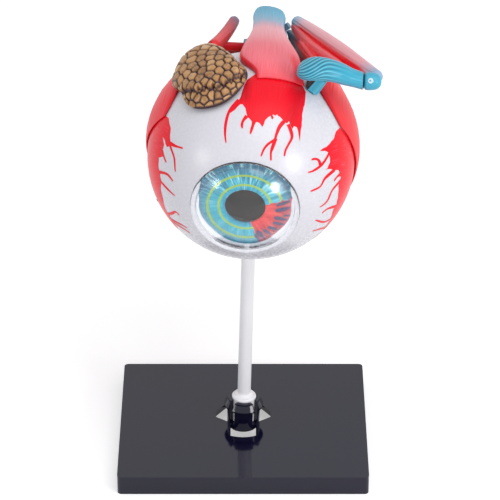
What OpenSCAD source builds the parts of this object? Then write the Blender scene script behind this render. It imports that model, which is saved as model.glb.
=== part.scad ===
// Dissectible model of a right human eye with its outer muscles, on a clip stand.
// The origin is the middle of the base plate's underside, and the eye looks along -Y.
// Eye frame: origin at the ball's centre, -Y along the optic axis, +Z up, +X towards the nose.

/* [Stand] */
// Width of the base plate
base_w = 80; // [64:1:120]
// Depth of the base plate
base_d = 65; // [50:1:100]
// Height of the base plate
base_h = 6.5; // [4.5:0.5:12]
// Top and side wall of the hollow base plate
base_wall = 1.8; // [1.2:0.1:3]
// Corner radius of the base plate
base_corner = 1.4; // [0.5:0.1:4]
// Height of the clip fingers above the plate
clip_h = 9; // [6:0.5:14]
// Wall of the clip fingers
clip_wall = 1.3; // [0.9:0.1:2]
// Gap between two clip fingers
clip_gap = 2; // [1:0.1:3]
// Reach of the barbs outside the clip fingers
barb_reach = 1; // [0.5:0.1:2]
// Diameter of the stem rod
stem_d = 4.3; // [3:0.1:6]
// Diameter of the stem's collar and foot
foot_d = 7.8; // [6.5:0.1:10]
// Sideways lean of the stem, in degrees
stem_lean = 1.5; // [0:0.5:3]

/* [Ball] */
// Outer radius of the ball
ball_r = 32; // [28:0.5:40]
// Height of the ball's centre above the plate, along the stem
ball_h = 98.7; // [85:0.1:130]
// Downward pitch of the optic axis, in degrees
eye_pitch = 5; // [0:0.5:10]
// Turn of the optic axis to the viewer's left, in degrees
eye_yaw = 3.8; // [0:0.1:15]
// Wall of the white shells
shell_wall = 2; // [1.5:0.1:3]
// How far the joint between the white shells lies in front of the centre
seam_y = 6.5; // [6:0.1:9]
// Radius of the cornea's clear flange
flange_r = 16.6; // [15:0.1:19]
// Thickness of the cornea's flange
flange_t = 1.3; // [0.8:0.1:2]
// Wall of the cornea's dome
dome_wall = 1.1; // [0.8:0.1:2]
// Outer radius of curvature of the cornea's dome
dome_r = 20.5; // [17.5:0.1:24]
// Radius of the iris disc
iris_r = 14.4; // [13:0.1:15]
// Radius of the pupil
pupil_r = 6.1; // [3:0.1:8]
// Thickness of the iris disc
iris_t = 1; // [0.6:0.1:1.4]
// Wall of the choroid cup
choroid_wall = 0.9; // [0.6:0.1:1.2]
// Wall of the retina cup
retina_wall = 0.9; // [0.6:0.1:1.2]
// Radius of the lens at its edge
lens_edge_r = 11; // [8:0.1:12]
// Depth of the stem's socket in the ball
socket_depth = 5; // [3:0.5:7]

/* [Muscles and nerve] */
// How far the muscles' rear ends lie behind the ball's centre
apex_y = 68; // [60:1:80]
// Distance of the muscles' rear ends from the nerve's axis
apex_off = 7.5; // [7:0.1:10]
// Thickness of the straight muscles' bellies
strap_t = 3.8; // [2.5:0.1:5]
// Diameter of the superior oblique's belly
oblique_d = 4.8; // [3.5:0.1:6]
// Diameter of the optic nerve's sheath
sheath_d = 9; // [7.5:0.1:10]
// Wall of the optic nerve's sheath
sheath_wall = 1.2; // [0.8:0.1:1.6]
// Length of the nerve behind the tendon ring
nerve_tail = 3; // [1:0.5:10]
// How far the pulley's middle stands off the seat of the muscles
trochlea_off = 14.4; // [12:0.1:18]
// Height of the gland above the ball
gland_t = 5.2; // [3:0.1:8]

/* [Fits] */
// Gap between a lift-off piece and what it rests on
seat_gap = 0.3; // [0.2:0.05:0.5]
// Gap of a running or plug fit
fit_gap = 0.1; // [0.05:0.01:0.2]

/* [Hidden] */
$fn = 96;
eps = 0.01;

// ---------- shared maths ----------

function lerp(a, b, f) = a + (b - a) * f;
function unit(v) = v / norm(v);

// Smooth curve through evenly spaced values or points, for f from 0 to 1
function curve(values, f) =
    let (last = len(values) - 1,
         x = min(max(f, 0), 1) * last,
         i = min(floor(x), last - 1),
         t = x - i,
         a = values[max(i - 1, 0)],
         b = values[i],
         c = values[i + 1],
         d = values[min(i + 2, last)])
    (2 * b + (c - a) * t + (2 * a - 5 * b + 4 * c - d) * t * t
        + (3 * b - a - 3 * c + d) * t * t * t) / 2;

// Point at a place along the optic axis, at a distance off it and a turn round it from the top
function around(y, off, turn) = [off * sin(turn), y, off * cos(turn)];

// Closed solid through rings of points; point j of a ring faces point n-1-j across the ring
module loft(rings) {
    n = len(rings[0]);
    last = (len(rings) - 1) * n;
    sides = [for (i = [0 : len(rings) - 2], j = [0 : n - 1])
        let (a = i * n + j, b = i * n + (j + 1) % n)
        each [[a, b + n, b], [a, a + n, b + n]]];
    caps = [for (j = [0 : n / 2 - 2])
        let (k = n - 1 - j)
        each [[j, j + 1, k], [j + 1, k - 1, k],
              [last + j, last + k, last + j + 1], [last + j + 1, last + k, last + k - 1]]];
    polyhedron(points = [for (ring = rings) each ring], faces = concat(sides, caps));
}

// ---------- frames ----------

// Frame of the stem: origin on the plate's top, +Z up the leaning stem
module in_clip() {
    translate([0, 0, base_h]) rotate([0, stem_lean, 0]) children();
}

// Frame of the eye: origin at the ball's centre
module in_eye() {
    in_clip() translate([0, 0, ball_h]) rotate([eye_pitch, 0, -eye_yaw]) children();
}

// Direction of the stem's axis, drawn within the eye frame
module along_stem() {
    rotate([-eye_pitch, 0, 0]) rotate([0, 0, eye_yaw]) children();
}

// Turns +Z to a direction of the eye frame
module towards(direction) {
    rotate([0, acos(direction.z / norm(direction)), atan2(direction.y, direction.x)]) children();
}

// Turns a rotate_extrude or cylinder so that its +Z runs forward along the optic axis
module forward() {
    rotate([90, 0, 0]) children();
}

// Keeps what lies between two places along the optic axis
module between(y_front, y_rear) {
    reach = 2 * ball_r;
    intersection() {
        children();
        translate([-reach, y_front, -reach]) cube([2 * reach, y_rear - y_front, 2 * reach]);
    }
}

// ---------- stand ----------

foot_r = foot_d / 2;
stem_r = stem_d / 2;
// Height of the collar's top above the plate
foot_h = clip_h + 0.9;
clip_r = foot_r + fit_gap + clip_wall;
barb_h = clip_h - 2.5;
// Reach of the plate's openings beyond the clip fingers
slot_reach = 5;
side_slot_reach = 3.6;

module rounded_outline(w, d, r) {
    square([w - 2 * r, d], center = true);
    square([w, d - 2 * r], center = true);
    for (x = [-1, 1], y = [-1, 1])
        translate([x * (w / 2 - r), y * (d / 2 - r)]) circle(r = r);
}

// The openings that the mould leaves beside the clip's fingers
module clip_openings() {
    under = clip_r - 0.5;
    intersection() {
        difference() {
            circle(r = clip_r + slot_reach);
            circle(r = under);
        }
        square([2 * foot_r + 0.4, 4 * clip_r], center = true);
    }
    for (side = [0, 1])
        mirror([side, 0, 0]) polygon([[under, -1.6], [clip_r + side_slot_reach, 1.2],
            [clip_r + side_slot_reach, 4.2], [clip_r, clip_r + 4], [under, clip_r + 4]]);
}

// Four upright fingers with barbs outside
module clip_fingers() {
    root = base_wall / 2;
    difference() {
        union() {
            translate([0, 0, -root]) cylinder(r = clip_r, h = clip_h + root);
            translate([0, 0, barb_h]) cylinder(r1 = clip_r + barb_reach, r2 = clip_r, h = 2);
            translate([0, 0, barb_h - 0.5]) cylinder(r = clip_r + barb_reach, h = 0.5);
        }
        translate([0, 0, -0.2]) cylinder(r = foot_r + fit_gap, h = clip_h + 1);
        for (turn = [45, 135])
            rotate([0, 0, turn]) translate([-2 * clip_r, -clip_gap / 2, 0.6])
                cube([4 * clip_r, clip_gap, clip_h + 1]);
    }
}

module base_plate() color([0.09, 0.09, 0.1]) {
    difference() {
        linear_extrude(base_h) rounded_outline(base_w, base_d, base_corner);
        translate([0, 0, -eps]) linear_extrude(base_h - base_wall + eps)
            rounded_outline(base_w - 2 * base_wall, base_d - 2 * base_wall, base_corner);
        translate([0, 0, base_h - base_wall - 1]) linear_extrude(base_wall + 2) clip_openings();
    }
    in_clip() clip_fingers();
}

module stem() color([0.86, 0.84, 0.87]) in_clip() {
    translate([0, 0, 0.25]) cylinder(r1 = foot_r - 0.5, r2 = foot_r, h = 0.6);
    translate([0, 0, 0.85]) cylinder(r = foot_r, h = foot_h - 1.35);
    translate([0, 0, foot_h - 0.5]) cylinder(r1 = foot_r, r2 = foot_r - 0.4, h = 0.5);
    translate([0, 0, foot_h]) cylinder(r1 = stem_r + 0.7, r2 = stem_r, h = 0.9);
    translate([0, 0, 1]) cylinder(r = stem_r, h = ball_h - ball_r + socket_depth - 1.2);
}

// ---------- ball ----------

shell_in = ball_r - shell_wall;
front_y = -sqrt(ball_r ^ 2 - flange_r ^ 2);
boss_r = stem_r + fit_gap + 1.3;
cup_mouth_y = 0.4;
choroid_out = shell_in - fit_gap;
choroid_in = choroid_out - choroid_wall;
retina_out = choroid_in - fit_gap;
retina_in = retina_out - retina_wall;
gel_r = retina_in - seat_gap;
gel_front_y = front_y + 11.86;
lens_y = front_y + 7.86;
lens_front_r = 20;
lens_rear_r = 14;
lens_rear_centre_y = lens_y - sqrt(lens_rear_r ^ 2 - lens_edge_r ^ 2);
nerve_r = sheath_d / 2 - sheath_wall - fit_gap;
nerve_root = [3.6, ball_r - 5, 0];
nerve_dir = unit([0, apex_y - 2, 0] - nerve_root);
// Lift-off directions, each also the axis of the piece's peg
superior_lift = unit(around(0.12, 1, 10));
medial_lift = unit(around(0.2, 1, 110));
inferior_lift = unit(around(0.3, 1, 180));
lateral_lift = unit(around(0.2, 1, -100));
oblique_lift = unit(around(-0.07, 1, 34.5));
low_oblique_lift = unit(around(0.24, 1, -148));
gland_lift = unit(around(-0.38, 1, -24));
peg_r = 1.1;
peg_depth = 1.5;

// Peg on a lift-off piece, from a little above the ball down into the shell
module peg(direction, above = 1) {
    towards(direction) translate([0, 0, ball_r - peg_depth + 0.2])
        cylinder(r = peg_r, h = peg_depth - 0.2 + above, $fn = 32);
}

module peg_hole(direction) {
    towards(direction) translate([0, 0, ball_r - peg_depth])
        cylinder(r = peg_r + 2 * fit_gap, h = peg_depth + 1, $fn = 32);
}

module along_nerve() {
    translate(nerve_root) towards(nerve_dir) children();
}

// The stem's socket, seen from inside the ball as a post
module socket_post(r) {
    along_stem() translate([0, 0, -ball_r + 0.6]) cylinder(r = r, h = socket_depth + 0.4);
}

// Groove that lets a piece slide forward past the post
module post_groove() {
    half = boss_r + seat_gap;
    post_y = -ball_r * sin(eye_pitch);
    translate([-half, post_y - half, -ball_r]) cube([2 * half, 3 * ball_r, socket_depth + 1.7]);
}

module sclera_rear() color([0.93, 0.92, 0.95]) in_eye() difference() {
    union() {
        between(-seam_y, ball_r + 1) forward() difference() {
            sphere(r = ball_r);
            sphere(r = shell_in);
        }
        socket_post(boss_r);
    }
    along_stem() translate([0, 0, -ball_r - 1])
        cylinder(r = stem_r + fit_gap, h = socket_depth + 1);
    along_nerve() cylinder(r = sheath_d / 2 + fit_gap, h = ball_r);
    for (lift = [superior_lift, medial_lift, inferior_lift, lateral_lift, oblique_lift,
                 low_oblique_lift])
        peg_hole(lift);
}

module sclera_front() color([0.93, 0.92, 0.95]) in_eye() difference() {
    union() {
        between(front_y, -seam_y) difference() {
            sphere(r = ball_r);
            sphere(r = shell_in);
        }
        // thick collar that carries the iris and the cornea's flange
        translate([0, front_y + 3, 0]) forward() difference() {
            cylinder(r = iris_r + 1.2, h = 3);
            translate([0, 0, -1]) cylinder(r = iris_r - 1.8, h = 5);
        }
    }
    translate([0, front_y + iris_t + 0.05, 0]) forward() cylinder(r = iris_r + fit_gap, h = 3);
    peg_hole(gland_lift);
}

dome_foot_r = flange_r - 1.5;
dome_centre_y = front_y - flange_t + sqrt(dome_r ^ 2 - dome_foot_r ^ 2);

module cornea() color([0.85, 0.93, 0.97, 0.45]) in_eye() difference() {
    union() {
        translate([0, front_y, 0]) forward() cylinder(r = flange_r, h = flange_t / 2);
        translate([0, front_y - flange_t / 2, 0]) forward()
            cylinder(r1 = flange_r, r2 = flange_r - 0.5, h = flange_t / 2);
        between(dome_centre_y - dome_r, front_y - flange_t / 2)
            translate([0, dome_centre_y, 0]) sphere(r = dome_r);
    }
    translate([0, dome_centre_y, 0]) sphere(r = dome_r - dome_wall);
}

module iris() color([0.25, 0.62, 0.78]) in_eye() translate([0, front_y + iris_t + 0.05, 0]) forward()
    difference() {
        cylinder(r = iris_r, h = iris_t);
        translate([0, 0, -1]) cylinder(r = pupil_r, h = iris_t + 2);
    }

// Ring behind the iris that carries the lens; its back is grooved to pass the stem's socket
ciliary_front_y = front_y + 4.86;
ciliary_rear_y = -0.6;
web_front_y = ciliary_front_y + 1.5;
web_rear_y = web_front_y + 3;
ciliary_hole_r = lens_edge_r + seat_gap;

module ciliary_body() color([0.45, 0.2, 0.16]) in_eye() difference() {
    union() {
        between(ciliary_front_y, ciliary_rear_y) intersection() {
            difference() {
                sphere(r = shell_in - seat_gap);
                sphere(r = gel_r + seat_gap);
            }
            translate([0, ball_r, 0]) forward()
                cylinder(r = sqrt(shell_in ^ 2 - seam_y ^ 2) - seat_gap, h = 3 * ball_r);
        }
        intersection() {
            sphere(r = shell_in - seat_gap - 0.6);
            translate([0, web_rear_y, 0]) forward()
                cylinder(r = ball_r, h = web_rear_y - web_front_y);
        }
    }
    forward() cylinder(r = ciliary_hole_r, h = ball_r);
    post_groove();
}

module lens() color([0.9, 0.95, 0.97, 0.5]) in_eye() intersection() {
    translate([0, lens_y + sqrt(lens_front_r ^ 2 - lens_edge_r ^ 2), 0]) sphere(r = lens_front_r);
    translate([0, lens_rear_centre_y, 0]) sphere(r = lens_rear_r);
    forward() cylinder(r = lens_edge_r - 0.3, h = ball_r);
}

// Clear filling, with the hollow for the lens and a groove that passes the stem's socket
module vitreous_body() color([0.9, 0.95, 0.98, 0.35]) in_eye() difference() {
    between(gel_front_y, ball_r) sphere(r = gel_r);
    translate([0, lens_rear_centre_y, 0]) sphere(r = lens_rear_r + seat_gap);
    post_groove();
}

module cup(outer, inner) {
    difference() {
        between(cup_mouth_y, outer + 1) difference() {
            sphere(r = outer);
            sphere(r = inner);
        }
        along_nerve() translate([0, 0, -5]) cylinder(r = nerve_r + fit_gap, h = ball_r);
        socket_post(boss_r + fit_gap);
    }
}

module choroid() color([0.35, 0.13, 0.12]) in_eye() cup(choroid_out, choroid_in);

module retina() color([0.85, 0.4, 0.3]) in_eye() cup(retina_out, retina_in);

// ---------- nerve and tendon ring ----------

// Length of the nerve from its root inside the ball to its cut end
nerve_len = norm([nerve_root.x, apex_y - 2 - nerve_root.y]) + 2 + nerve_tail;
vessel_r = 0.5;
vessel_off = 1;

module along_vessels() {
    for (side = [-1, 1]) along_nerve() translate([0, side * vessel_off, -3]) children();
}

module optic_nerve() color([0.93, 0.85, 0.55]) in_eye() difference() {
    along_nerve() translate([0, 0, -3]) cylinder(r = nerve_r, h = nerve_len + 3);
    sphere(r = retina_in);
    along_vessels() cylinder(r = vessel_r + fit_gap / 2, h = nerve_len + 4, $fn = 32);
}

module nerve_sheath() color([0.9, 0.83, 0.6]) in_eye() difference() {
    along_nerve() cylinder(r = sheath_d / 2, h = nerve_len - 1);
    along_nerve() translate([0, 0, -1]) cylinder(r = nerve_r + fit_gap / 2, h = nerve_len + 2);
    sphere(r = choroid_out + fit_gap);
}

module retinal_vessels() color([0.7, 0.12, 0.15]) in_eye() difference() {
    along_vessels() cylinder(r = vessel_r, h = nerve_len + 4, $fn = 32);
    sphere(r = retina_in);
}

ring_out = apex_off - seat_gap;
// Turn round the nerve of the lug that carries the superior oblique's end
lug_turn = 50;
oblique_start = around(apex_y - 1, 12.7, lug_turn);
lug_r = 1.1;
// Turns of the ring's opening, from one end over its middle to the other
ring_opening = [-98, -62, -26];

module annulus() color([0.45, 0.72, 0.82]) in_eye() difference() {
    union() {
        translate([0, apex_y + 1, 0]) forward() cylinder(r = ring_out, h = 6);
        translate([0, apex_y - 1, 0]) towards(around(0, 1, lug_turn))
            cylinder(r = lug_r, h = norm([oblique_start.x, oblique_start.z]) - oblique_d / 2 - seat_gap);
    }
    along_nerve() cylinder(r = sheath_d / 2 + fit_gap / 2, h = nerve_len + 5);
    // opening between the upper and the outer muscle
    translate([0, apex_y + 2, 0]) rotate([90, 0, 0]) linear_extrude(8)
        polygon([[0, 0], for (turn = ring_opening) [2 * ring_out * sin(turn), 2 * ring_out * cos(turn)]]);
}

// ---------- muscles ----------

arc_r = ball_r + seat_gap;
apex_angle = atan2(apex_off, apex_y);
// Place on the ball, as an angle from the optic axis, where a band leaves it for the ring
leave_angle = apex_angle + acos(arc_r / norm([apex_y, apex_off]));
straight_len = sqrt(apex_y ^ 2 + apex_off ^ 2 - arc_r ^ 2);
// Share of a band's full thickness that stays at its borders
rim_share = 0.35;
// Radius at which a piece passes clear over a straight muscle
over_r = arc_r + strap_t + fit_gap;

// Length of the part of a band that lies on the ball
function arc_len(y) = arc_r * (acos(y / arc_r) - leave_angle) * PI / 180;

// Place along the axis, distance off it and angle of the normal, s behind a band's front edge
function band_point(y, s) =
    let (on_ball = arc_len(y), angle = acos(y / arc_r) - s / arc_r * 180 / PI, run = s - on_ball)
    run < 0 ? [arc_r * cos(angle), arc_r * sin(angle), angle]
            : [arc_r * cos(leave_angle) + run * sin(leave_angle),
               arc_r * sin(leave_angle) - run * cos(leave_angle), leave_angle];

// Point above the underside of a band, behind the place where the band leaves the ball
function above_band(y, rise, turn) =
    around(y, arc_r * sin(leave_angle) - (y - arc_r * cos(leave_angle)) / tan(leave_angle) + rise, turn);

// Flat muscle: places of the front corners of its two borders, then the borders' turns and the
// thickness, evenly spaced from front to rear
module band(fronts, low, high, thick, slices = 26, sides = 10) {
    function at(f, v) =
        let (y = lerp(fronts[0], fronts[1], v))
        band_point(y, (arc_len(y) + straight_len) * f ^ 1.6);
    function turn_at(f, v) = lerp(curve(low, f), curve(high, f), v);
    loft([for (i = [0 : slices])
        let (f = i / slices, t = curve(thick, f))
        concat(
            [for (j = [0 : sides])
                let (v = j / sides, p = at(f, v),
                     h = t * (rim_share + (1 - rim_share) * sqrt(1 - (2 * v - 1) ^ 4)))
                around(p[0] + h * cos(p[2]), p[1] + h * sin(p[2]), turn_at(f, v))],
            [for (j = [sides : -1 : 0])
                let (v = j / sides, p = at(f, v))
                around(p[0], p[1], turn_at(f, v))])]);
}

// Round rod with ball ends
module rod(from, to, r) {
    translate(from) towards(to - from) cylinder(r = r, h = norm(to - from), $fn = 24);
    translate(from) sphere(r = r, $fn = 24);
    translate(to) sphere(r = r, $fn = 24);
}

module superior_rectus() color([0.82, 0.25, 0.38]) in_eye() {
    band([-5.3, -2.7], [2.4, 0.9, -7.2, -7.8, -7.7, -7.2, -8.3, -13.2, -23],
         [29.3, 27, 25.3, 24.5, 23.1, 21.7, 22.1, 26.7, 38], strap_t * [0.3, 0.75, 0.95, 1.05, 1.1, 1.2]);
    peg(superior_lift);
}

module medial_rectus() color([0.82, 0.25, 0.38]) in_eye() {
    band([-6, 1], [58, 39, 40, 41, 43, 63], [110, 116, 118, 122, 122, 116],
         strap_t * [0.2, 0.35, 0.65, 0.95, 1, 0.6]);
    peg(medial_lift);
}

module lateral_rectus() color([0.82, 0.25, 0.38]) in_eye() {
    band([6, -7.2], [-110, -111, -112, -114, -116, -116, -117, -122, -130, -135, -138],
         [-56, -50, -44.5, -44.2, -44.5, -39.5, -36, -44, -56, -84, -104],
         strap_t * [0.2, 0.35, 0.6, 0.95, 1, 0.7]);
    // upper and lower heads at the rear
    fork = above_band(0.75 * apex_y, 2.5, -42.6);
    rod(above_band(0.44 * apex_y, 1.7, -36.7), fork, 1.7);
    rod(fork, above_band(0.94 * apex_y, 4.3, -49.5), 1.6);
    rod(above_band(0.7 * apex_y, 0.3, -55.3), above_band(0.82 * apex_y, -5.4, -54.5), 1.4);
    peg(lateral_lift);
}

module inferior_rectus() color([0.82, 0.25, 0.38]) in_eye() {
    band([0.5, 0.5], [168, 167, 166, 163, 156, 146], [192, 193, 194, 197, 204, 214],
         strap_t * [0.5, 0.75, 0.8, 0.9, 1, 1]);
    peg(inferior_lift);
}

// ---------- obliques and gland ----------

trochlea_d = 5.4;
trochlea_w = 5.4;
trochlea_at = around(0, arc_r + trochlea_off, 50.8);
oblique_dir = unit(trochlea_at - oblique_start);
oblique_len = norm(trochlea_at - oblique_start) - 1;

// Pulley block, rounded at its outer end
module trochlea_blank() {
    end_r = trochlea_w * 2 / 3;
    translate(trochlea_at) rotate([0, 90, 0]) intersection() {
        cylinder(d = trochlea_d, h = trochlea_w, center = true);
        translate([0, 0, trochlea_w / 2 - end_r]) sphere(r = end_r);
    }
}

module superior_oblique() color([0.8, 0.24, 0.36]) in_eye() difference() {
    translate(oblique_start) towards(oblique_dir)
        loft([for (i = [0 : 20])
            let (f = i / 20, r = oblique_d / 2 * curve([0.8, 0.95, 1, 1, 0.8, 0.55], f))
            [for (j = [0 : 19]) [r * cos(18 * j), r * sin(18 * j), oblique_len * f]]]);
    trochlea_blank();
}

module trochlea() color([0.55, 0.82, 0.9]) in_eye() difference() {
    trochlea_blank();
    translate(trochlea_at) towards([0, -0.81, 0.59])
        translate([0, 0, trochlea_d / 2 - 1]) cylinder(r = 0.7, h = trochlea_d, $fn = 32);
}

tab_turn = 33.8;
tab_w = 4.4;

// Thick tendon from the pulley over the superior rectus' edge, with its foot on the ball
module superior_oblique_tendon() color([0.45, 0.75, 0.85]) in_eye() {
    turns = [51.4, 43.1, 37.6, 31.9, 26.7, 21];
    rises = [13.7, 10.4, 9.6, 8.6, 7.4, 5.1];
    ys = [-0.5, -1, -2, -3, -4, -4];
    half_widths = [2.4, 3.3, 4, 4.6, 5, 3.4];
    half_heights = [2.9, 2.9, 3.1, 3.2, 3.3, 1.8];
    difference() {
        loft([for (i = [0 : 16])
            let (f = i / 16, y = curve(ys, f), off = arc_r + curve(rises, f), turn = curve(turns, f),
                 w = curve(half_widths, f), h = curve(half_heights, f))
            [for (j = [0 : 15]) let (a = 22.5 * j + 11.25)
                around(y + w * cos(a), off - h * sin(a), turn)]]);
        translate([trochlea_at.x - trochlea_w / 2, -ball_r, 0]) cube(2 * ball_r);
    }
    rotate([0, tab_turn, 0]) translate([-tab_w / 2, -4.4, arc_r]) cube([tab_w, 5.6, 7]);
    peg(oblique_lift);
}

// Narrow strap round the underside, outside the inferior rectus
module inferior_oblique() color([0.8, 0.25, 0.36]) in_eye() {
    turns = [238, 229, 214, 200, 186, 172, 158];
    y_mids = ball_r * [0.0375, 0.14, 0.25, 0.297, 0.297, 0.266, 0.219];
    rises = [0, 0, 0.18, 0.95, 1, 1, 1];
    halfs = ball_r * [0.1, 0.119, 0.131, 0.131, 0.125, 0.1125, 0.081];
    thicks = strap_t * [0.63, 0.74, 0.9, 0.95, 0.9, 0.84, 0.63];
    loft([for (i = [0 : 24])
        let (f = i / 24, y = curve(y_mids, f), inner = lerp(arc_r, over_r, max(curve(rises, f), 0)),
             turn = curve(turns, f), w = curve(halfs, f), t = curve(thicks, f), n = 8)
        concat(
            [for (j = [0 : n])
                let (v = 2 * j / n - 1, h = t * (rim_share + (1 - rim_share) * sqrt(1 - v ^ 4)))
                shell_point(y + v * w, inner + h, turn)],
            [for (j = [n : -1 : 0]) shell_point(y + (2 * j / n - 1) * w, inner, turn)])]);
    peg(low_oblique_lift, 2);
}

// Point at a place along the axis on a sphere round the ball's centre
function shell_point(y, r, turn) = around(y, sqrt(r ^ 2 - y ^ 2), turn);

// Widest outline of the gland as [turn, place along the axis], and the place of its middle
gland_outline = [[-45, 1.5], [-43, -2.8], [-39.4, -5.4], [-38.4, -8.6], [-36, -11.8], [-31.5, -13.9],
                 [-25, -15], [-17.5, -15], [-11, -13.6], [-6.4, -11.2], [-3.4, -8.2], [-2.4, -5.4],
                 [-4, -2.8], [-7.4, -0.2], [-11.5, 3.8], [-18.5, 9], [-27, 12], [-37, 8.5]];
gland_mid = [-24, -2];
// Outline's share and height's share of the gland's rounded side, from its foot to its top
gland_profile = [[0.86, 0], [0.94, 0.14], [1, 0.28], [0.99, 0.45], [0.93, 0.64], [0.82, 0.8],
                 [0.66, 0.91], [0.45, 0.97], [0.24, 1], [0.04, 1]];

function closed_curve(points, f) =
    let (n = len(points), i = floor(f * n), t = f * n - i, a = points[(i + n - 1) % n],
         b = points[i % n], c = points[(i + 1) % n], d = points[(i + 2) % n])
    (2 * b + (c - a) * t + (2 * a - 5 * b + 4 * c - d) * t * t
        + (3 * b - a - 3 * c + d) * t * t * t) / 2;

function gland_ring(share, h, n = 36) =
    [for (j = [0 : n - 1])
        let (p = lerp(gland_mid, closed_curve(gland_outline, j / n), share), y = p[1],
             // the underside clears the ball as the gland moves forward
             off = y < 0 ? sqrt(arc_r ^ 2 - y ^ 2) : arc_r)
        around(y * (y < 0 ? 1 + h / arc_r : 1), off * (1 + h / arc_r), p[0])];

module lacrimal_gland() color([0.66, 0.47, 0.27]) in_eye() {
    loft(concat(
        [for (share = [0.04, 0.25, 0.5, 0.7]) gland_ring(share, 0)],
        [for (row = gland_profile) gland_ring(row[0], gland_t * row[1])]));
    peg(gland_lift);
}

base_plate();
stem();
sclera_rear();
sclera_front();
cornea();
iris();
ciliary_body();
lens();
vitreous_body();
choroid();
retina();
optic_nerve();
nerve_sheath();
retinal_vessels();
annulus();
superior_rectus();
medial_rectus();
inferior_rectus();
lateral_rectus();
superior_oblique();
trochlea();
superior_oblique_tendon();
inferior_oblique();
lacrimal_gland();
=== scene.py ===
import math

import bmesh
import bpy
import numpy as np
from mathutils import Matrix, Vector
from mathutils.geometry import delaunay_2d_cdt


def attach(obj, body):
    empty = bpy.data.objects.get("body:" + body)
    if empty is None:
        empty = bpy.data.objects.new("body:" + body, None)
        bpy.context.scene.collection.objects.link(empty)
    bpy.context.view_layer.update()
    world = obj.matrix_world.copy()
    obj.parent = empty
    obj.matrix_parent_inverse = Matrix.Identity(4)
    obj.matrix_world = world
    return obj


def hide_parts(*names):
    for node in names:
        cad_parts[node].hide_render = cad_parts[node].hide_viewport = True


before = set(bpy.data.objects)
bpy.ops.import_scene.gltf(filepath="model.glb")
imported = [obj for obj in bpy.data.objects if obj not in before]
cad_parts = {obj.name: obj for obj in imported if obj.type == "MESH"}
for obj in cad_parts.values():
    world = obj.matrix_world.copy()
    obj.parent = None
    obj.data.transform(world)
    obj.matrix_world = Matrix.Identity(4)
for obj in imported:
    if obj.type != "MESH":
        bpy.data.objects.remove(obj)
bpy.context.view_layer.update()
rng = np.random.RandomState(7)

# ---------- sizes shared with the solids, in millimetres ----------
BALL_R = 32.0
# radius of the bed that the muscles and the gland lie on
ARC_R = 32.3
# the ring at the back where the straps run together
APEX_Y, APEX_OFF = 68.0, 7.5
STRAP_T = 3.8
# share of a strap's thickness that is left at its long edges
RIM = 0.35
# the seam between the two half shells, and the flat that the cornea stands on
SEAM_Y = -6.5
FRONT_Y = -27.358
MM = 0.001

# the eye's frame on its stand: heights in metres, turns in degrees
BASE_H, EYE_H = 0.0065, 0.0987
LEAN, YAW, PITCH = 1.5, -3.8, 5.0
EYE = (Matrix.Translation((0, 0, BASE_H)) @ Matrix.Rotation(math.radians(LEAN), 4, "Y")
       @ Matrix.Translation((0, 0, EYE_H)) @ Matrix.Rotation(math.radians(YAW), 4, "Z")
       @ Matrix.Rotation(math.radians(PITCH), 4, "X"))
EYE_R = np.array(EYE.to_3x3())
EYE_T = np.array(EYE.translation)


def to_world(points):
    """Points of the eye frame, in millimetres, in the row frame, in metres."""
    return np.asarray(points, float) @ EYE_R.T * MM + EYE_T


# ---------- curves ----------
def through(a, b, c, d, t):
    """Smooth run from b to c, with a and d the points before and after."""
    return (2 * b + (c - a) * t + (2 * a - 5 * b + 4 * c - d) * t**2
            + (3 * b - a - 3 * c + d) * t**3) / 2


def curve(values, f):
    """Smooth curve through evenly spaced values, at each f from 0 to 1."""
    v = np.asarray(values, float)
    last = len(v) - 1
    x = np.clip(f, 0, 1) * last
    i = np.minimum(np.floor(x).astype(int), last - 1)
    t = x - i
    if v.ndim > 1:
        t = t[..., None]
    return through(v[np.maximum(i - 1, 0)], v[i], v[i + 1], v[np.minimum(i + 2, last)], t)


def closed_curve(points, f):
    """The same for a closed outline."""
    v = np.asarray(points, float)
    n = len(v)
    i = np.floor(f * n).astype(int)
    return through(v[(i - 1) % n], v[i % n], v[(i + 1) % n], v[(i + 2) % n], (f * n - i)[..., None])


def around(y, off, turn):
    """A place along the optic axis, a distance off it and a turn round it from the top."""
    t = np.radians(turn)
    y, off, t = np.broadcast_arrays(y, off, t)
    return np.stack([off * np.sin(t), y, off * np.cos(t)], -1)


def on_ball(turn, y, r):
    """A place on a ball of radius r round the eye's centre."""
    return around(y, np.sqrt(np.maximum(r * r - np.square(y), 0)), turn)


def smoothstep(x):
    x = np.clip(x, 0, 1)
    return x * x * (3 - 2 * x)


def hump(x, at, width):
    """1 at a place, falling off to 0 on both sides."""
    return np.exp(-(((x - at) / width) ** 2))


def dome_end(x, least=0.02):
    """A rounded end's share of the radius, x being the share of the end that is passed."""
    return np.sqrt(np.clip(1 - (1 - np.clip(x, 0, 1)) ** 2, least, 1))


def circle(count):
    """Angles evenly round a circle."""
    return np.linspace(0, 2 * np.pi, count, endpoint=False)


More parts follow.
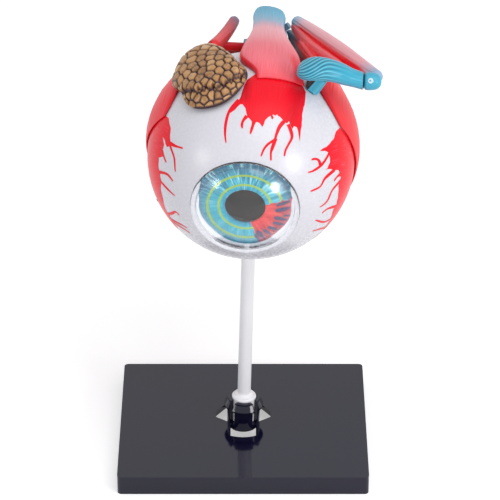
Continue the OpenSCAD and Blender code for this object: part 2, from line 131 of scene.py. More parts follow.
# ---------- meshes ----------
def mesh_piece(name, points, faces, material, body, replaces=(), uv=None, data=None, solid=True):
    """A mesh of eye-frame points that rides on a body; uv and data are per point."""
    me = bpy.data.meshes.new(name)
    me.from_pydata([tuple(p) for p in to_world(np.reshape(points, (-1, 3)))], [], faces)
    if solid:
        bm = bmesh.new()
        bm.from_mesh(me)
        bmesh.ops.recalc_face_normals(bm, faces=bm.faces)
        bm.to_mesh(me)
        bm.free()
    me.polygons.foreach_set("use_smooth", [True] * len(me.polygons))
    if uv is not None:
        layer = me.uv_layers.new(name="UVMap")
        loops = np.empty(len(me.loops), np.int32)
        me.loops.foreach_get("vertex_index", loops)
        layer.data.foreach_set("uv", np.asarray(uv, np.float32).reshape(-1, 2)[loops].ravel())
    for key, values in (data or {}).items():
        me.attributes.new(key, "FLOAT", "POINT").data.foreach_set(
            "value", np.asarray(values, np.float32).ravel())
    me.materials.append(material)
    me.update()
    ob = bpy.data.objects.new(name, me)
    bpy.context.scene.collection.objects.link(ob)
    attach(ob, body)
    if replaces:
        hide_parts(*replaces)
    return ob


def grid_faces(rows, cols, wrap_cols=True, flip=False):
    """Faces between the points of a grid, closed round along its rows or not."""
    faces = []
    for i in range(rows - 1):
        for j in range(cols if wrap_cols else cols - 1):
            k = (j + 1) % cols
            q = (i * cols + j, (i + 1) * cols + j, (i + 1) * cols + k, i * cols + k)
            faces.append(q[::-1] if flip else q)
    return faces


def closed_faces(rows, cols, flip=False):
    """A grid that closes round, with one face over each end."""
    first, last = tuple(range(cols)), tuple(range((rows - 1) * cols, rows * cols))
    ends = [first, last[::-1]] if flip else [first[::-1], last]
    return grid_faces(rows, cols, flip=flip) + ends


def end_strip(base, cols, flip=False):
    """Closes a ring whose point j faces point cols-1-j."""
    faces = []
    for j in range(cols // 2 - 1):
        q = (base + j, base + j + 1, base + cols - 2 - j, base + cols - 1 - j)
        faces.append(q[::-1] if flip else q)
    return faces


def flat_faces(rows, cols):
    """A flattened grid that closes round, with a strip of faces over each end."""
    return grid_faces(rows, cols) + end_strip(0, cols) + end_strip((rows - 1) * cols, cols, True)


# ---------- materials ----------
class Nodes:
    """A node tree, written as calls."""

    def __init__(self, owner):
        owner.use_nodes = True
        self.tree = owner.node_tree
        self.tree.nodes.clear()

    def add(self, kind, **inputs):
        node = self.tree.nodes.new(kind)
        for key, value in inputs.items():
            if hasattr(node, key) and key not in node.inputs:
                setattr(node, key, value)
            else:
                self.put(node, key, value)
        return node

    def put(self, node, key, value):
        """Links or sets an input, named, or numbered as _0."""
        socket = node.inputs[int(key[1:])] if key[0] == "_" else node.inputs[key]
        if isinstance(value, bpy.types.NodeSocket):
            self.tree.links.new(value, socket)
        else:
            socket.default_value = value

    def math(self, kind, a, b=0.5, clamp=False):
        return self.add("ShaderNodeMath", operation=kind, use_clamp=clamp, _0=a, _1=b).outputs[0]

    def above(self, value, level, gain):
        """0 up to a level, then rising to 1."""
        return self.math("MULTIPLY", self.math("SUBTRACT", value, level), gain, True)

    def mix(self, fac, a, b, blend="MIX"):
        return self.add("ShaderNodeMix", data_type="RGBA", blend_type=blend, _0=fac, _6=a, _7=b).outputs[2]

    def ramp(self, fac, stops):
        node = self.add("ShaderNodeValToRGB", Fac=fac)
        e = node.color_ramp.elements
        while len(e) < len(stops):
            e.new(0.5)
        for el, (at, colour) in zip(e, stops):
            el.position = at
            el.color = colour
        return node.outputs["Color"]

    def stretch(self, value, low, high, source=(0.0, 1.0)):
        return self.add("ShaderNodeMapRange", Value=value, _1=source[0], _2=source[1], _3=low,
                        _4=high).outputs[0]

    def attribute(self, name):
        return self.add("ShaderNodeAttribute", attribute_name=name).outputs["Fac"]

    def coords(self, scale=(1, 1, 1), kind="Object"):
        return self.add("ShaderNodeMapping", Vector=self.add("ShaderNodeTexCoord").outputs[kind],
                        Scale=scale).outputs[0]

    def noise(self, vector, scale, detail, rough=0.5):
        return self.add("ShaderNodeTexNoise", Vector=vector, Scale=scale, Detail=detail,
                        Roughness=rough).outputs["Fac"]

    def streaks(self, across, along, detail, rough=0.5):
        """Noise drawn out along a piece, from its UV places."""
        return self.noise(self.coords((across, along, 1), "UV"), 1.0, detail, rough)


class Paint(Nodes):
    """A material with one principled shader."""

    def __init__(self, name):
        self.material = bpy.data.materials.new(name)
        super().__init__(self.material)
        self.shader = self.add("ShaderNodeBsdfPrincipled")
        self.add("ShaderNodeOutputMaterial", Surface=self.shader.outputs[0])

    def set(self, **inputs):
        for key, value in inputs.items():
            self.put(self.shader, key.replace("_", " "), value)

    def bump(self, height, strength, distance):
        self.set(Normal=self.add("ShaderNodeBump", Height=height, Strength=strength,
                                 Distance=distance).outputs[0])


def srgb(r, g, b):
    """A screen colour of 0 to 255 as linear values."""
    def linear(c):
        c /= 255.0
        return c / 12.92 if c <= 0.04045 else ((c + 0.055) / 1.055) ** 2.4
    return (linear(r), linear(g), linear(b), 1.0)


def colours(*stops):
    """Colour stops, each a place from 0 to 1 and a colour."""
    return [(at, srgb(*rgb)) for at, *rgb in stops]


def scaled(c, k):
    """A colour made lighter or darker."""
    return tuple(min(1.0, x * k) for x in c[:3]) + (1.0,)


def plastic(name, colour, rough=0.3, vary=0.06, grain=900, bump=0.1, shine=0.5):
    """Moulded or painted plastic: slight mottling, a fine skin and uneven gloss."""
    n = Paint(name)
    where = n.coords()
    skin = n.noise(where, grain, 2)
    tones = [(0.3, scaled(colour, 1 - vary)), (0.7, scaled(colour, 1 + vary))]
    n.set(Base_Color=n.ramp(n.noise(where, 35, 4), tones), Specular_IOR_Level=shine,
          Roughness=n.stretch(skin, rough * 0.85, rough * 1.15, (0.3, 0.7)))
    n.bump(skin, bump, 0.00002)
    return n.material


def clear(name, tint, rough, ior=1.49, gloss=0.45, coat=0.0):
    """Clear plastic, with its reflections held back by gloss, and a softer coat for wide glints."""
    n = Paint(name)
    where = n.coords()
    n.set(Base_Color=n.ramp(n.noise(where, 30, 2), [(0.3, tint), (0.7, scaled(tint, 1.03))]),
          Roughness=n.stretch(n.noise(where, 120, 2), rough * 0.6, rough * 1.6), Transmission_Weight=1.0,
          IOR=ior, Specular_Tint=(gloss, gloss, gloss, 1.0), Coat_Weight=coat, Coat_Roughness=0.2)
    return n.material


def muscle(name, stops, side, streak=0.32, fibre=150):
    """Painted muscle: colour blends along the length, broken by fibres, with darker edges."""
    n = Paint(name)
    place = n.add("ShaderNodeSeparateXYZ", Vector=n.coords(kind="UV")).outputs[1]
    wide = n.streaks(fibre * 0.4, 2.2, 3)
    fine = n.streaks(fibre, 5, 4, 0.6)
    ragged = n.math("MULTIPLY", n.math("SUBTRACT", wide, 0.5), 0.08)
    colour = n.ramp(n.math("ADD", place, ragged), stops)
    shaded = n.mix(1.0, colour, srgb(245, 150, 155), "MULTIPLY")
    colour = n.mix(n.math("MULTIPLY", n.math("SUBTRACT", 0.56, fine), 4 * streak, True), colour, shaded)
    colour = n.mix(n.above(fine, 0.54, 3.2 * streak), colour, n.mix(0.4, colour, srgb(255, 225, 225)))
    n.set(Base_Color=n.mix(n.attribute("side"), colour, side), Roughness=n.stretch(fine, 0.32, 0.48),
          Specular_IOR_Level=0.22)
    n.bump(fine, 0.3, 0.0001)
    return n.material


M_BLACK = plastic("plate_black", srgb(15, 14, 39), 0.09, 0.12, 1500, 0.02, 0.42)
M_STEM = plastic("stem_white", srgb(246, 245, 248), 0.35, 0.02, 700, 0.06)
M_WHITE = plastic("ball_white", srgb(229, 227, 234), 0.27, 0.012, 900, 0.03)
M_CILIARY = plastic("ciliary_brown", srgb(128, 70, 58), 0.5, 0.2, 600, 0.3)
M_CHOROID = plastic("choroid_red", srgb(140, 45, 42), 0.5, 0.2, 500, 0.3)
M_RETINA = plastic("retina_orange", srgb(226, 140, 105), 0.45, 0.1, 500, 0.2)
M_NERVE = plastic("nerve_yellow", srgb(240, 222, 165), 0.45, 0.08, 500, 0.3)
M_VESSEL = plastic("vessel_red", srgb(200, 30, 40), 0.3, 0.1, 500, 0.2)
M_RING = plastic("ring_blue", srgb(120, 160, 188), 0.35, 0.12, 600, 0.2)
M_NAVY = plastic("iris_navy", srgb(36, 40, 92), 0.4, 0.25)
M_PIT = plastic("pit_pale", srgb(214, 236, 246), 0.3, 0.05)
M_CLEAR = clear("cornea_clear", (0.97, 0.985, 1.0, 1.0), 0.05, coat=0.7)
# a darker glass tint for the flange's edge, as painted shade
M_RIM_SHADE = clear("cornea_rim_shade", (0.5, 0.54, 0.64, 1.0), 0.1)
M_LENS = clear("lens_clear", (0.95, 0.95, 0.97, 1.0), 0.03, gloss=0.12)
M_GEL = clear("gel_clear", (0.93, 0.95, 0.97, 1.0), 0.05, 1.4, 0.12)

# colours along the muscles, from the front end to the rear end
SR_COLOURS = colours((0.0, 252, 88, 100), (0.2, 255, 134, 146), (0.38, 255, 122, 136), (0.55, 255, 166, 176),
                     (0.66, 255, 184, 194), (0.73, 222, 180, 198), (0.8, 150, 190, 218), (0.9, 92, 190, 224),
                     (1.0, 60, 174, 210))
# the medial rectus's last three stops are darker, painted shade of its shaded inner face
MR_COLOURS = colours((0.0, 255, 58, 66), (0.35, 255, 60, 68), (0.78, 238, 44, 52), (0.88, 165, 70, 86),
                     (0.94, 82, 116, 138), (1.0, 64, 128, 148))
LR_COLOURS = colours((0.0, 255, 68, 78), (0.4, 255, 66, 76), (0.7, 240, 54, 62), (0.84, 196, 26, 34),
                     (1.0, 150, 16, 24))
HEAD_COLOURS = colours((0.0, 255, 60, 70), (0.35, 240, 62, 72), (0.66, 214, 62, 78), (0.86, 160, 84, 110),
                       (1.0, 110, 130, 170))
IO_COLOURS = colours((0.0, 70, 165, 190), (0.14, 110, 160, 180), (0.26, 236, 90, 100), (1.0, 245, 105, 112))
# colours of the superior oblique and its lower roll, from the rear end to the pulley
SO_COLOURS = colours((0.0, 150, 192, 222), (0.05, 180, 206, 228), (0.12, 250, 196, 208), (0.2, 255, 194, 200),
                     (0.82, 255, 176, 184), (0.92, 222, 196, 214), (1.0, 150, 192, 222))
ROLL_COLOURS = colours((0.0, 150, 60, 72), (0.1, 235, 90, 96), (0.5, 255, 104, 110), (1.0, 255, 130, 138))
M_SR = muscle("superior_rectus_paint", SR_COLOURS, srgb(255, 36, 52), streak=0.45)
M_MR = muscle("medial_rectus_paint", MR_COLOURS, srgb(232, 28, 42))
M_LR = muscle("lateral_rectus_paint", LR_COLOURS, srgb(240, 28, 42))
M_HEAD = muscle("lateral_rectus_head_paint", HEAD_COLOURS, srgb(186, 26, 36))
M_IR = muscle("inferior_rectus_paint", LR_COLOURS, srgb(200, 34, 46))
M_SO = muscle("superior_oblique_paint", SO_COLOURS, srgb(255, 44, 54), 0.16, 60)
M_ROLL = muscle("superior_oblique_lobe_paint", ROLL_COLOURS, srgb(255, 32, 44), 0.24, 60)
M_IO = muscle("inferior_oblique_paint", IO_COLOURS, srgb(200, 34, 46))


def tendon_paint():
    """Blue paint, darker between the ribs and lighter on them as painted shade and light, and near black at a
    joint and where a shadow is painted.
    """
    n = Paint("tendon_paint")
    where = n.coords()
    blues = colours((0.0, 20, 96, 122), (0.35, 44, 146, 176), (0.62, 62, 176, 206), (1.0, 124, 210, 228))
    colour = n.ramp(n.attribute("rib"), blues)
    colour = n.mix(n.math("MULTIPLY", n.noise(where, 260, 3), 0.2), colour, srgb(72, 180, 208))
    n.set(Base_Color=n.mix(n.attribute("dark"), colour, srgb(24, 16, 22)),
          Roughness=n.stretch(n.noise(where, 500, 2), 0.26, 0.38), Specular_IOR_Level=0.4)
    return n.material


def print_paint():
    """Red printing on the ball, with the muscle's fibres drawn on in it and painted shade where its shade is
    set.
    """
    n = Paint("red_print")
    fine = n.streaks(2.6, 0.16, 3)
    dark = n.math("MULTIPLY", n.math("SUBTRACT", 0.47, fine), 3.0, True)
    colour = n.mix(dark, srgb(255, 20, 42), srgb(218, 8, 28))
    # painted shade: darker red
    colour = n.mix(n.attribute("shade"), colour, srgb(176, 10, 22))
    colour = n.mix(n.above(fine, 0.58, n.attribute("fibre")), colour, srgb(255, 120, 142))
    n.set(Base_Color=colour, Roughness=n.stretch(fine, 0.26, 0.36), Specular_IOR_Level=0.2)
    return n.material


def gland_paint():
    """Ochre scales, each in its own tone, over dark purple grooves."""
    n = Paint("gland_paint")
    where = n.coords()
    ochres = colours((0.0, 134, 88, 50), (0.4, 172, 120, 66), (0.75, 196, 142, 84), (1.0, 214, 170, 120))
    scale = n.ramp(n.attribute("tone"), ochres)
    scale = n.mix(n.above(n.noise(where, 900, 4, 0.7), 0.45, 2.2), scale, srgb(222, 186, 140))
    worn = n.math("MULTIPLY", n.math("SUBTRACT", 0.47, n.noise(where, 620, 3, 0.6)), 2.5, True)
    scale = n.mix(worn, scale, srgb(120, 76, 40))
    n.set(Base_Color=n.mix(n.attribute("edge"), srgb(58, 30, 42), scale),
          Roughness=n.stretch(n.noise(where, 300, 3), 0.2, 0.42), Specular_IOR_Level=0.45)
    n.bump(n.noise(where, 1300, 4, 0.7), 0.45, 0.0001)
    return n.material


# the iris: the pupil's radius, the width of the printing, its own radius and those of two printed rings
PUPIL_R, PRINT_W, IRIS_R = 6.1, 8.3, 14.4
RINGS_R = (7.9, 11.2)


def iris_paint():
    """Printed iris: radial streaks, two pale rings and a cut-away wedge in red."""
    n = Paint("iris_print")
    r = n.add("ShaderNodeSeparateXYZ", Vector=n.coords(kind="UV")).outputs[1]
    streak = n.streaks(85, 2.2, 3, 0.6)
    broad = n.streaks(26, 1.2, 2)
    blue = n.ramp(r, colours((0.42, 24, 136, 168), (0.5, 34, 162, 190), (0.62, 44, 168, 192),
                             (0.76, 44, 156, 182), (0.88, 50, 138, 166), (0.98, 64, 112, 140)))
    contrast = n.math("ADD", 2.0, n.math("MULTIPLY", n.attribute("upper"), 4.0))
    hollow = n.math("MULTIPLY", n.math("SUBTRACT", 0.5, streak), contrast, True)
    blue = n.mix(hollow, blue, srgb(24, 92, 126))
    blue = n.mix(n.above(streak, 0.53, contrast), blue, srgb(176, 232, 236))
    blue = n.mix(n.above(broad, 0.52, 1.4), blue, srgb(80, 200, 216))
    for at in RINGS_R:
        away = n.math("ABSOLUTE", n.math("SUBTRACT", r, at / IRIS_R))
        ring = n.math("SUBTRACT", 1.0, n.math("DIVIDE", away, 0.036), True)
        blue = n.mix(n.math("MULTIPLY", ring, 1.5, True), blue, srgb(156, 186, 44))
    reds = colours((0.42, 226, 58, 62), (0.6, 212, 50, 58), (0.8, 170, 42, 58), (0.95, 186, 92, 110))
    wedge = n.ramp(r, reds)
    wedge = n.mix(n.above(streak, 0.5, 3.0), wedge, srgb(250, 132, 118))
    hollow = n.math("MULTIPLY", n.math("SUBTRACT", 0.48, streak), 4.0, True)
    wedge = n.mix(hollow, wedge, srgb(176, 34, 48))
    colour = n.mix(n.attribute("wedge"), blue, wedge)
    n.set(Base_Color=n.mix(n.attribute("border"), colour, srgb(232, 236, 244)),
          Roughness=n.stretch(streak, 0.55, 0.7), Specular_IOR_Level=0.1)
    n.bump(streak, 0.08, 0.0001)
    return n.material


M_TENDON = tendon_paint()
M_PRINT = print_paint()
M_GLAND = gland_paint()
M_IRIS = iris_paint()

for node, material in {
        "base_plate": M_BLACK, "stem": M_STEM, "sclera_rear": M_WHITE, "sclera_front": M_WHITE,
        "ciliary_body": M_CILIARY, "lens": M_LENS, "vitreous_body": M_GEL, "choroid": M_CHOROID,
        "retina": M_RETINA, "optic_nerve": M_NERVE, "nerve_sheath": M_NERVE, "retinal_vessels": M_VESSEL,
        "annulus": M_RING}.items():
    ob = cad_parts[node]
    ob.data.materials.clear()
    ob.data.materials.append(material)

# ---------- muscles ----------
# the turn at which a strap leaves the ball, and the length of its straight run to the ring
APEX_ANGLE = math.degrees(math.atan2(APEX_OFF, APEX_Y))
LEAVE = APEX_ANGLE + math.degrees(math.acos(ARC_R / math.hypot(APEX_Y, APEX_OFF)))
STRAIGHT = math.sqrt(APEX_Y**2 + APEX_OFF**2 - ARC_R**2)


def arc_len(y):
    """Length along the bed from a place on the axis to where the strap leaves the ball."""
    return ARC_R * np.radians(np.degrees(np.arccos(y / ARC_R)) - LEAVE)


def band_point(y, s):
    """Place along the axis, distance off it and angle of the normal, s behind the front edge."""
    run = s - arc_len(y)
    angle = np.where(run < 0, np.degrees(np.arccos(y / ARC_R)) - np.degrees(s / ARC_R), LEAVE)
    run = np.maximum(run, 0)
    a = np.radians(angle)
    return (ARC_R * np.cos(a) + run * math.sin(math.radians(LEAVE)),
            ARC_R * np.sin(a) - run * math.cos(math.radians(LEAVE)), a)


def fibres(v, f, count, seed):
    """Smooth random ridges across v that wander slowly along f, about -1 to 1."""
    r = np.random.RandomState(seed)
    total = 0
    for k in range(7):
        freq = count * (0.55 + 0.18 * k)
        wander = np.sin(2 * np.pi * (r.rand() * 1.4 * f + r.rand()))
        wave = np.sin(2 * np.pi * (freq * v + 0.5 * wander) + 2 * np.pi * r.rand())
        total = total + wave * (0.5 + 0.5 * r.rand())
    return total / 3.2


def across_strap(cols):
    """Places from 0 to 1 across a strap, closer together at its edges."""
    return (1 - np.cos(np.linspace(0, np.pi, cols)))[None] / 2


def section(v):
    """Share of a strap's thickness across it, from 0 at its edges to 1 in the middle."""
    return np.sqrt(np.clip(1 - (2 * v - 1) ** 4, 0, 1))


def strap_mesh(name, outer, inner, lane, f, side, material):
    """A flat muscle from its outer and its inner face."""
    lane = np.broadcast_to(lane, outer.shape[:2])
    uv = np.stack([np.concatenate([lane, lane[:, ::-1]], 1), np.broadcast_to(f, side.shape)], -1)
    mesh_piece(f"{name}_strap", np.concatenate([outer, inner[:, ::-1]], 1), flat_faces(*side.shape),
               material, name, (name,), uv, {"side": side})


def band_piece(name, fronts, low, high, thick, material, seed, count, relief=0.1, scallop=0.0,
               straight=None, shade=None):
    """The same flat muscle as the solid, with fibres raised; in front of straight they run on ahead."""
    rows, cols = 190, 150
    f = np.linspace(0, 1, rows)[:, None]
    v = across_strap(cols)
    y0 = fronts[0] + (fronts[1] - fronts[0]) * v
    if scallop:
        y0 = y0 + scallop * fibres(v, np.zeros_like(v), 7, seed + 3)
    # rows lie closer together near the front edge
    y, off, a = band_point(y0, (arc_len(y0) + STRAIGHT) * f**1.6)
    turn = curve(low, f) * (1 - v) + curve(high, f) * v
    lane = np.broadcast_to(v, turn.shape)
    if straight:
        lo, hi = curve(low, straight), curve(high, straight)
        lane = np.where(f < straight, (turn - lo) / (hi - lo), lane)
    t = curve(thick, f) * STRAP_T
    ridge = fibres(lane, f, count, seed) * relief * smoothstep(section(v) * 1.6) * np.minimum(1, t / 2)
    ridge = ridge * smoothstep(f * 12) * (1 - 0.6 * smoothstep((f - 0.93) * 14))
    h = t * (RIM + (1 - RIM) * section(v))
    h = np.maximum(h + ridge - relief * 0.6, 0.15)
    outer = around(y + h * np.cos(a), off + h * np.sin(a), turn)
    edge = smoothstep((0.06 - np.minimum(v, 1 - v)) * 30)
    side = np.zeros((rows, 2 * cols))
    # edges take the side colour, and shade, where given, adds a painted shadow in it
    side[:, :cols] = np.maximum(edge * 0.9, shade(v, f) if shade else 0)
    side[1:, cols:] = 1
    # the blue rear end has no darker edges
    side *= 1 - smoothstep((f - 0.7) / 0.12)
    strap_mesh(name, outer, around(y, off, turn), lane, f, side, material)


def tendon_shadow_red(v, f):
    """Deeper red where the tendon crosses over the muscle's front corner: partly its red paint, partly a
    painted shadow of the tendon.
    """
    return 0.75 * smoothstep((v - 0.72) / 0.12) * smoothstep((0.34 - f) / 0.12)


# front edge at both borders, then the turn of both borders and the thickness from front to rear
band_piece("superior_rectus", (-5.3, -2.7), [2.4, 0.9, -7.2, -7.8, -7.7, -7.2, -8.3, -13.2, -23],
           [29.3, 27, 25.3, 24.5, 23.1, 21.7, 22.1, 26.7, 38], [0.12, 0.75, 0.95, 1.05, 1.1, 1.2],
           M_SR, 11, 20, 0.07, 0.1, 0.3, tendon_shadow_red)
band_piece("medial_rectus", (-6, 1), [58, 39, 40, 41, 43, 63], [110, 116, 118, 122, 122, 116],
           [0.1, 0.35, 0.65, 0.95, 1, 0.6], M_MR, 12, 30, 0.08)
band_piece("lateral_rectus", (6, -7.2), [-110, -111, -112, -114, -116, -116, -117, -122, -130, -135, -138],
           [-56, -50, -44.5, -44.2, -44.5, -39.5, -36, -44, -56, -84, -104],
           [0.1, 0.35, 0.6, 0.95, 1, 0.7], M_LR, 13, 30, 0.08)
band_piece("inferior_rectus", (0.5, 0.5), [168, 167, 166, 163, 156, 146], [192, 193, 194, 197, 204, 214],
           [0.5, 0.75, 0.8, 0.9, 1, 1], M_IR, 14, 16)


def frame_to(direction):
    """A direction and two unit vectors square to it, the first of them turned towards +Z."""
    d = np.asarray(direction, float) / np.linalg.norm(direction)
    up = np.array([0, 0, 1.0]) - d * d[2]
    up /= np.linalg.norm(up)
    return d, up, np.cross(d, up)


def tube(name, path, radius, material, body, side, seed, relief, count, cols, replaces=(), shape=None):
    """A rod of muscle along a path; shape changes its radius by angle, from up, and by place."""
    rows = len(path)
    f = np.linspace(0, 1, rows)[:, None]
    ang = circle(cols)[None]
    lane = ang / (2 * np.pi)
    r = radius[:, None]
    r = r * (shape(ang, f) if shape else 1.0) + relief * fibres(lane, f, count, seed) * (r > 0.4)
    points = np.empty((rows, cols, 3))
    for i, step in enumerate(np.gradient(path, axis=0)):
        _, up, across = frame_to(step)
        points[i] = (path[i] + np.outer(np.cos(ang[0]) * r[i], up)
                     + np.outer(np.sin(ang[0]) * r[i], across))
    mesh_piece(name, points, closed_faces(rows, cols, True), material, body, replaces,
               np.stack(np.broadcast_arrays(lane, f), -1),
               {"side": np.broadcast_to(side(ang, f), (rows, cols))})


# ---------- superior oblique ----------
LUG_TURN = 50.0
SO_START = around(APEX_Y - 1, 12.7, LUG_TURN)
TROCHLEA = np.array([36.2, 0.0, 29.5])


def two_lobes(ang, f):
    """A groove along the side that faces forwards, between the pale and the red roll."""
    return 1 - 0.07 * hump(ang, math.radians(58), 0.14) * smoothstep(f * 14) * smoothstep((0.8 - f) * 6)


def red_roll(ang, f):
    """The belly's lower half is red, but not at its two ends."""
    a = np.degrees(ang)
    lower = smoothstep((a - 44) / 30) * smoothstep((300 - a) / 20)
    return lower * smoothstep((f - 0.08) * 12) * smoothstep((0.93 - f) * 12)


def belly():
    """The belly, from the ring at the back into the pulley."""
    f = np.linspace(0, 1, 90)
    ends = np.minimum(f / 0.03, (1 - f) / 0.02)
    r = 2.4 * curve([0.85, 1.05, 1.16, 1.14, 0.95, 0.8], f) * dome_end(ends)
    path = SO_START + (TROCHLEA + np.array([1.6, 0.8, 0.9]) - SO_START) * f[:, None]
    tube("superior_oblique_belly", path, r, M_SO, "superior_oblique", red_roll, 5, 0.05, 14, 120,
         ("superior_oblique",), two_lobes)


def groove_shade(ang, _):
    """The lower roll is deep red along the groove above it: painted shade in the groove."""
    return smoothstep((np.cos(ang - math.radians(300)) - 0.2) * 2.5)


def lower_roll():
    """The belly's lower roll, which lies along its front under a deep groove."""
    f = np.linspace(0, 1, 70)
    along = 0.015 + 0.72 * f
    centre = SO_START + (TROCHLEA - SO_START) * along[:, None] * 0.965
    _, up, across = frame_to(TROCHLEA - SO_START)
    a = math.radians(122)
    out = 3.1 * np.sin(np.pi * np.clip(f * 0.8 + 0.1, 0, 1)) ** 0.6
    path = centre + out[:, None] * (math.cos(a) * up + math.sin(a) * across)
    r = 2.0 * curve([0.6, 0.95, 1, 0.9, 0.6], f) * dome_end(np.minimum(f / 0.08, (1 - f) / 0.12))
    tube("superior_oblique_lower_roll", path, r, M_ROLL, "superior_oblique", groove_shade, 9, 0.05, 9, 64)


belly()
lower_roll()


def tendon_piece():
    """The tendon, with ribs that run along it and curl down round its end."""
    rows, cols = 150, 160
    f = np.linspace(0, 1, rows)[:, None] ** 0.9
    a = circle(cols)[None] + np.pi / cols
    y = curve([-0.5, -1, -2, -3, -4, -4], f)
    off = ARC_R + curve([13.7, 10.4, 9.6, 8.6, 7.4, 5.1], f)
    turn = curve([51.4, 43.1, 37.6, 31.9, 26.7, 21], f)
    tip = np.sqrt(1 - np.clip((f - 0.8) / 0.2, 0, 1) ** 2)
    w = curve([2.4, 3.3, 4, 4.6, 5, 4.6], f) * (0.06 + 0.94 * tip)
    h = curve([2.9, 2.9, 3.1, 3.2, 3.3, 2.6], f) * (0.06 + 0.94 * tip)
    curl = 1.5 * smoothstep((f - 0.55) / 0.45) ** 1.3
    ribs = 0.5 + 0.5 * np.cos(15 * (a + curl - 0.1 * smoothstep(f / 0.6)))
    left = smoothstep((f - 0.3) / 0.45)
    raised = (0.03 + 0.24 * left) * (0.3 + 0.7 * tip) * (ribs - 0.8)
    points = around(y + (w + raised) * np.cos(a), off - (h + raised) * np.sin(a), turn)
    # cut square where it meets the pulley
    points[..., 0] = np.minimum(points[..., 0], TROCHLEA[0] - 3.0)
    # painted shade in the grooves and painted light on the ridges, strongest towards the left end
    rib = np.clip(0.62 + (ribs - 0.62) * (0.08 + 0.85 * left), 0, 1)
    mesh_piece("superior_oblique_tendon_ribs", points, flat_faces(rows, cols), M_TENDON, "superior_oblique",
               ("superior_oblique_tendon",), None, {"rib": rib, "dark": np.zeros_like(rib)})


def tab_piece():
    """Foot of the tendon on the ball, with its folds lighter on their ridges and darker in their hollows as
    painted light and shade, and a painted shadow down its left side.
    """
    rows, cols = 40, 64
    f = np.linspace(0, 1, rows)[:, None]
    a = circle(cols)[None]
    off = 32.35 + 5.2 * f
    fold = 1 + 0.06 * np.cos(9 * a)
    cx, cy = np.cos(a), np.sin(a)
    x = 2.2 * (1 - 0.1 * f) * fold * np.sign(cx) * np.abs(cx) ** 0.6
    y = -1.2 + 2.8 * (1 - 0.15 * f) * fold * np.sign(cy) * np.abs(cy) ** 0.6
    t = math.radians(33.8)
    points = np.stack([x * math.cos(t) + off * math.sin(t), y, -x * math.sin(t) + off * math.cos(t)], -1)
    data = {"rib": np.tile(0.66 + 0.1 * np.cos(9 * a), (rows, 1)),
            # dark: a painted shadow down the foot's left side
            "dark": np.tile(smoothstep((-cx - 0.35) * 3), (rows, 1))}
    mesh_piece("superior_oblique_tendon_foot", points, closed_faces(rows, cols, True), M_TENDON,
               "superior_oblique", (), None, data)


tendon_piece()
tab_piece()


def lathe(name, profile, origin, axis, material, body, segments, replaces=(), data=None):
    """A closed profile of [distance off the axis, place along it] spun round an axis."""
    d, up, across = frame_to(axis)
    p = np.asarray(profile, float)
    a = circle(segments)[:, None]
    pts = (origin + p[:, 1:] * d + (np.cos(a) * p[:, 0])[..., None] * up
           + (np.sin(a) * p[:, 0])[..., None] * across)
    n = len(p)
    faces = []
    for i in range(segments):
        k = (i + 1) % segments
        for j in range(n):
            m = (j + 1) % n
            if p[j, 0] < 1e-6 and p[m, 0] < 1e-6:
                continue
            faces.append((i * n + j, k * n + j, k * n + m, i * n + m))
    ob = mesh_piece(name, pts, faces, material, body, replaces, None,
                    {k: np.tile(v, segments) for k, v in (data or {}).items()})
    weld = ob.modifiers.new("weld", "WELD")
    weld.merge_threshold = 1e-6
    return ob


def rounded(points, r, steps):
    """A closed profile with its corners rounded, except those on the axis."""
    p = np.asarray(points, float)
    out = []
    for i in range(len(p)):
        a, b, c = p[i - 1], p[i], p[(i + 1) % len(p)]
        if b[0] < 1e-6:
            out.append(b)
            continue
        u, w = a - b, c - b
        lu, lw = np.linalg.norm(u), np.linalg.norm(w)
        k = min(r, lu * 0.45, lw * 0.45)
        s, e = b + u / lu * k, b + w / lw * k
        for t in np.linspace(0, 1, steps):
            out.append((1 - t) ** 2 * s + 2 * t * (1 - t) * b + t**2 * e)
    return np.array(out)


def trochlea_piece():
    """Pulley block: a dark joint towards the tendon, rounded outside, with a small pale pit in front."""
    prof = rounded([[0, -2.6], [2.7, -2.6], [2.75, -0.4], [2.3, 1.5], [1.2, 2.45], [0, 2.6]], 1.0, 10)
    prof = np.concatenate([[[0, -3.0], [2.3, -3.0], [2.3, -2.66]], prof[1:]])
    dark = np.where(np.arange(len(prof)) < 4, 1.0, 0.0)
    lathe("trochlea_block", prof, TROCHLEA, (1, 0.001, 0), M_TENDON, "superior_oblique",
          160, ("trochlea",), {"rib": np.full(len(prof), 0.66), "dark": dark})
    pit = np.array([0, -0.81, 0.59])
    lathe("trochlea_pit", [[0, 0], [0.8, 0], [0.85, 0.1], [0.65, 0.16], [0.45, 0.06], [0, 0.02]],
          TROCHLEA + pit * 2.66 + np.array([-0.7, 0, 0]), pit, M_PIT, "superior_oblique", 48)


trochlea_piece()


# ---------- inferior oblique ----------
def inferior_oblique_piece():
    """The lower muscle, from its blue end at the ball's outer side to under the ball."""
    rows, cols = 110, 60
    f = np.linspace(0, 1, rows)[:, None]
    v = across_strap(cols)
    turn = curve([238, 229, 214, 200, 186, 172, 158], f)
    inner = np.maximum(curve([32.3, 32.3, 33, 36, 36.2, 36.2, 36.2], f), ARC_R)
    w = curve([3.2, 3.8, 4.2, 4.2, 4, 3.6, 2.6], f)
    t = curve([2.4, 2.8, 3.4, 3.6, 3.4, 3.2, 2.4], f)
    y = curve([1.2, 4.5, 8, 9.5, 9.5, 8.5, 7], f) + (2 * v - 1) * w
    h = t * (RIM + (1 - RIM) * section(v))
    h = h + 0.08 * fibres(v, f, 10, 21) - 0.08
    side = np.zeros((rows, 2 * cols))
    side[:, cols:] = 1
    strap_mesh("inferior_oblique", on_ball(turn, y, inner + h), on_ball(turn, y, inner), v, f, side, M_IO)


inferior_oblique_piece()


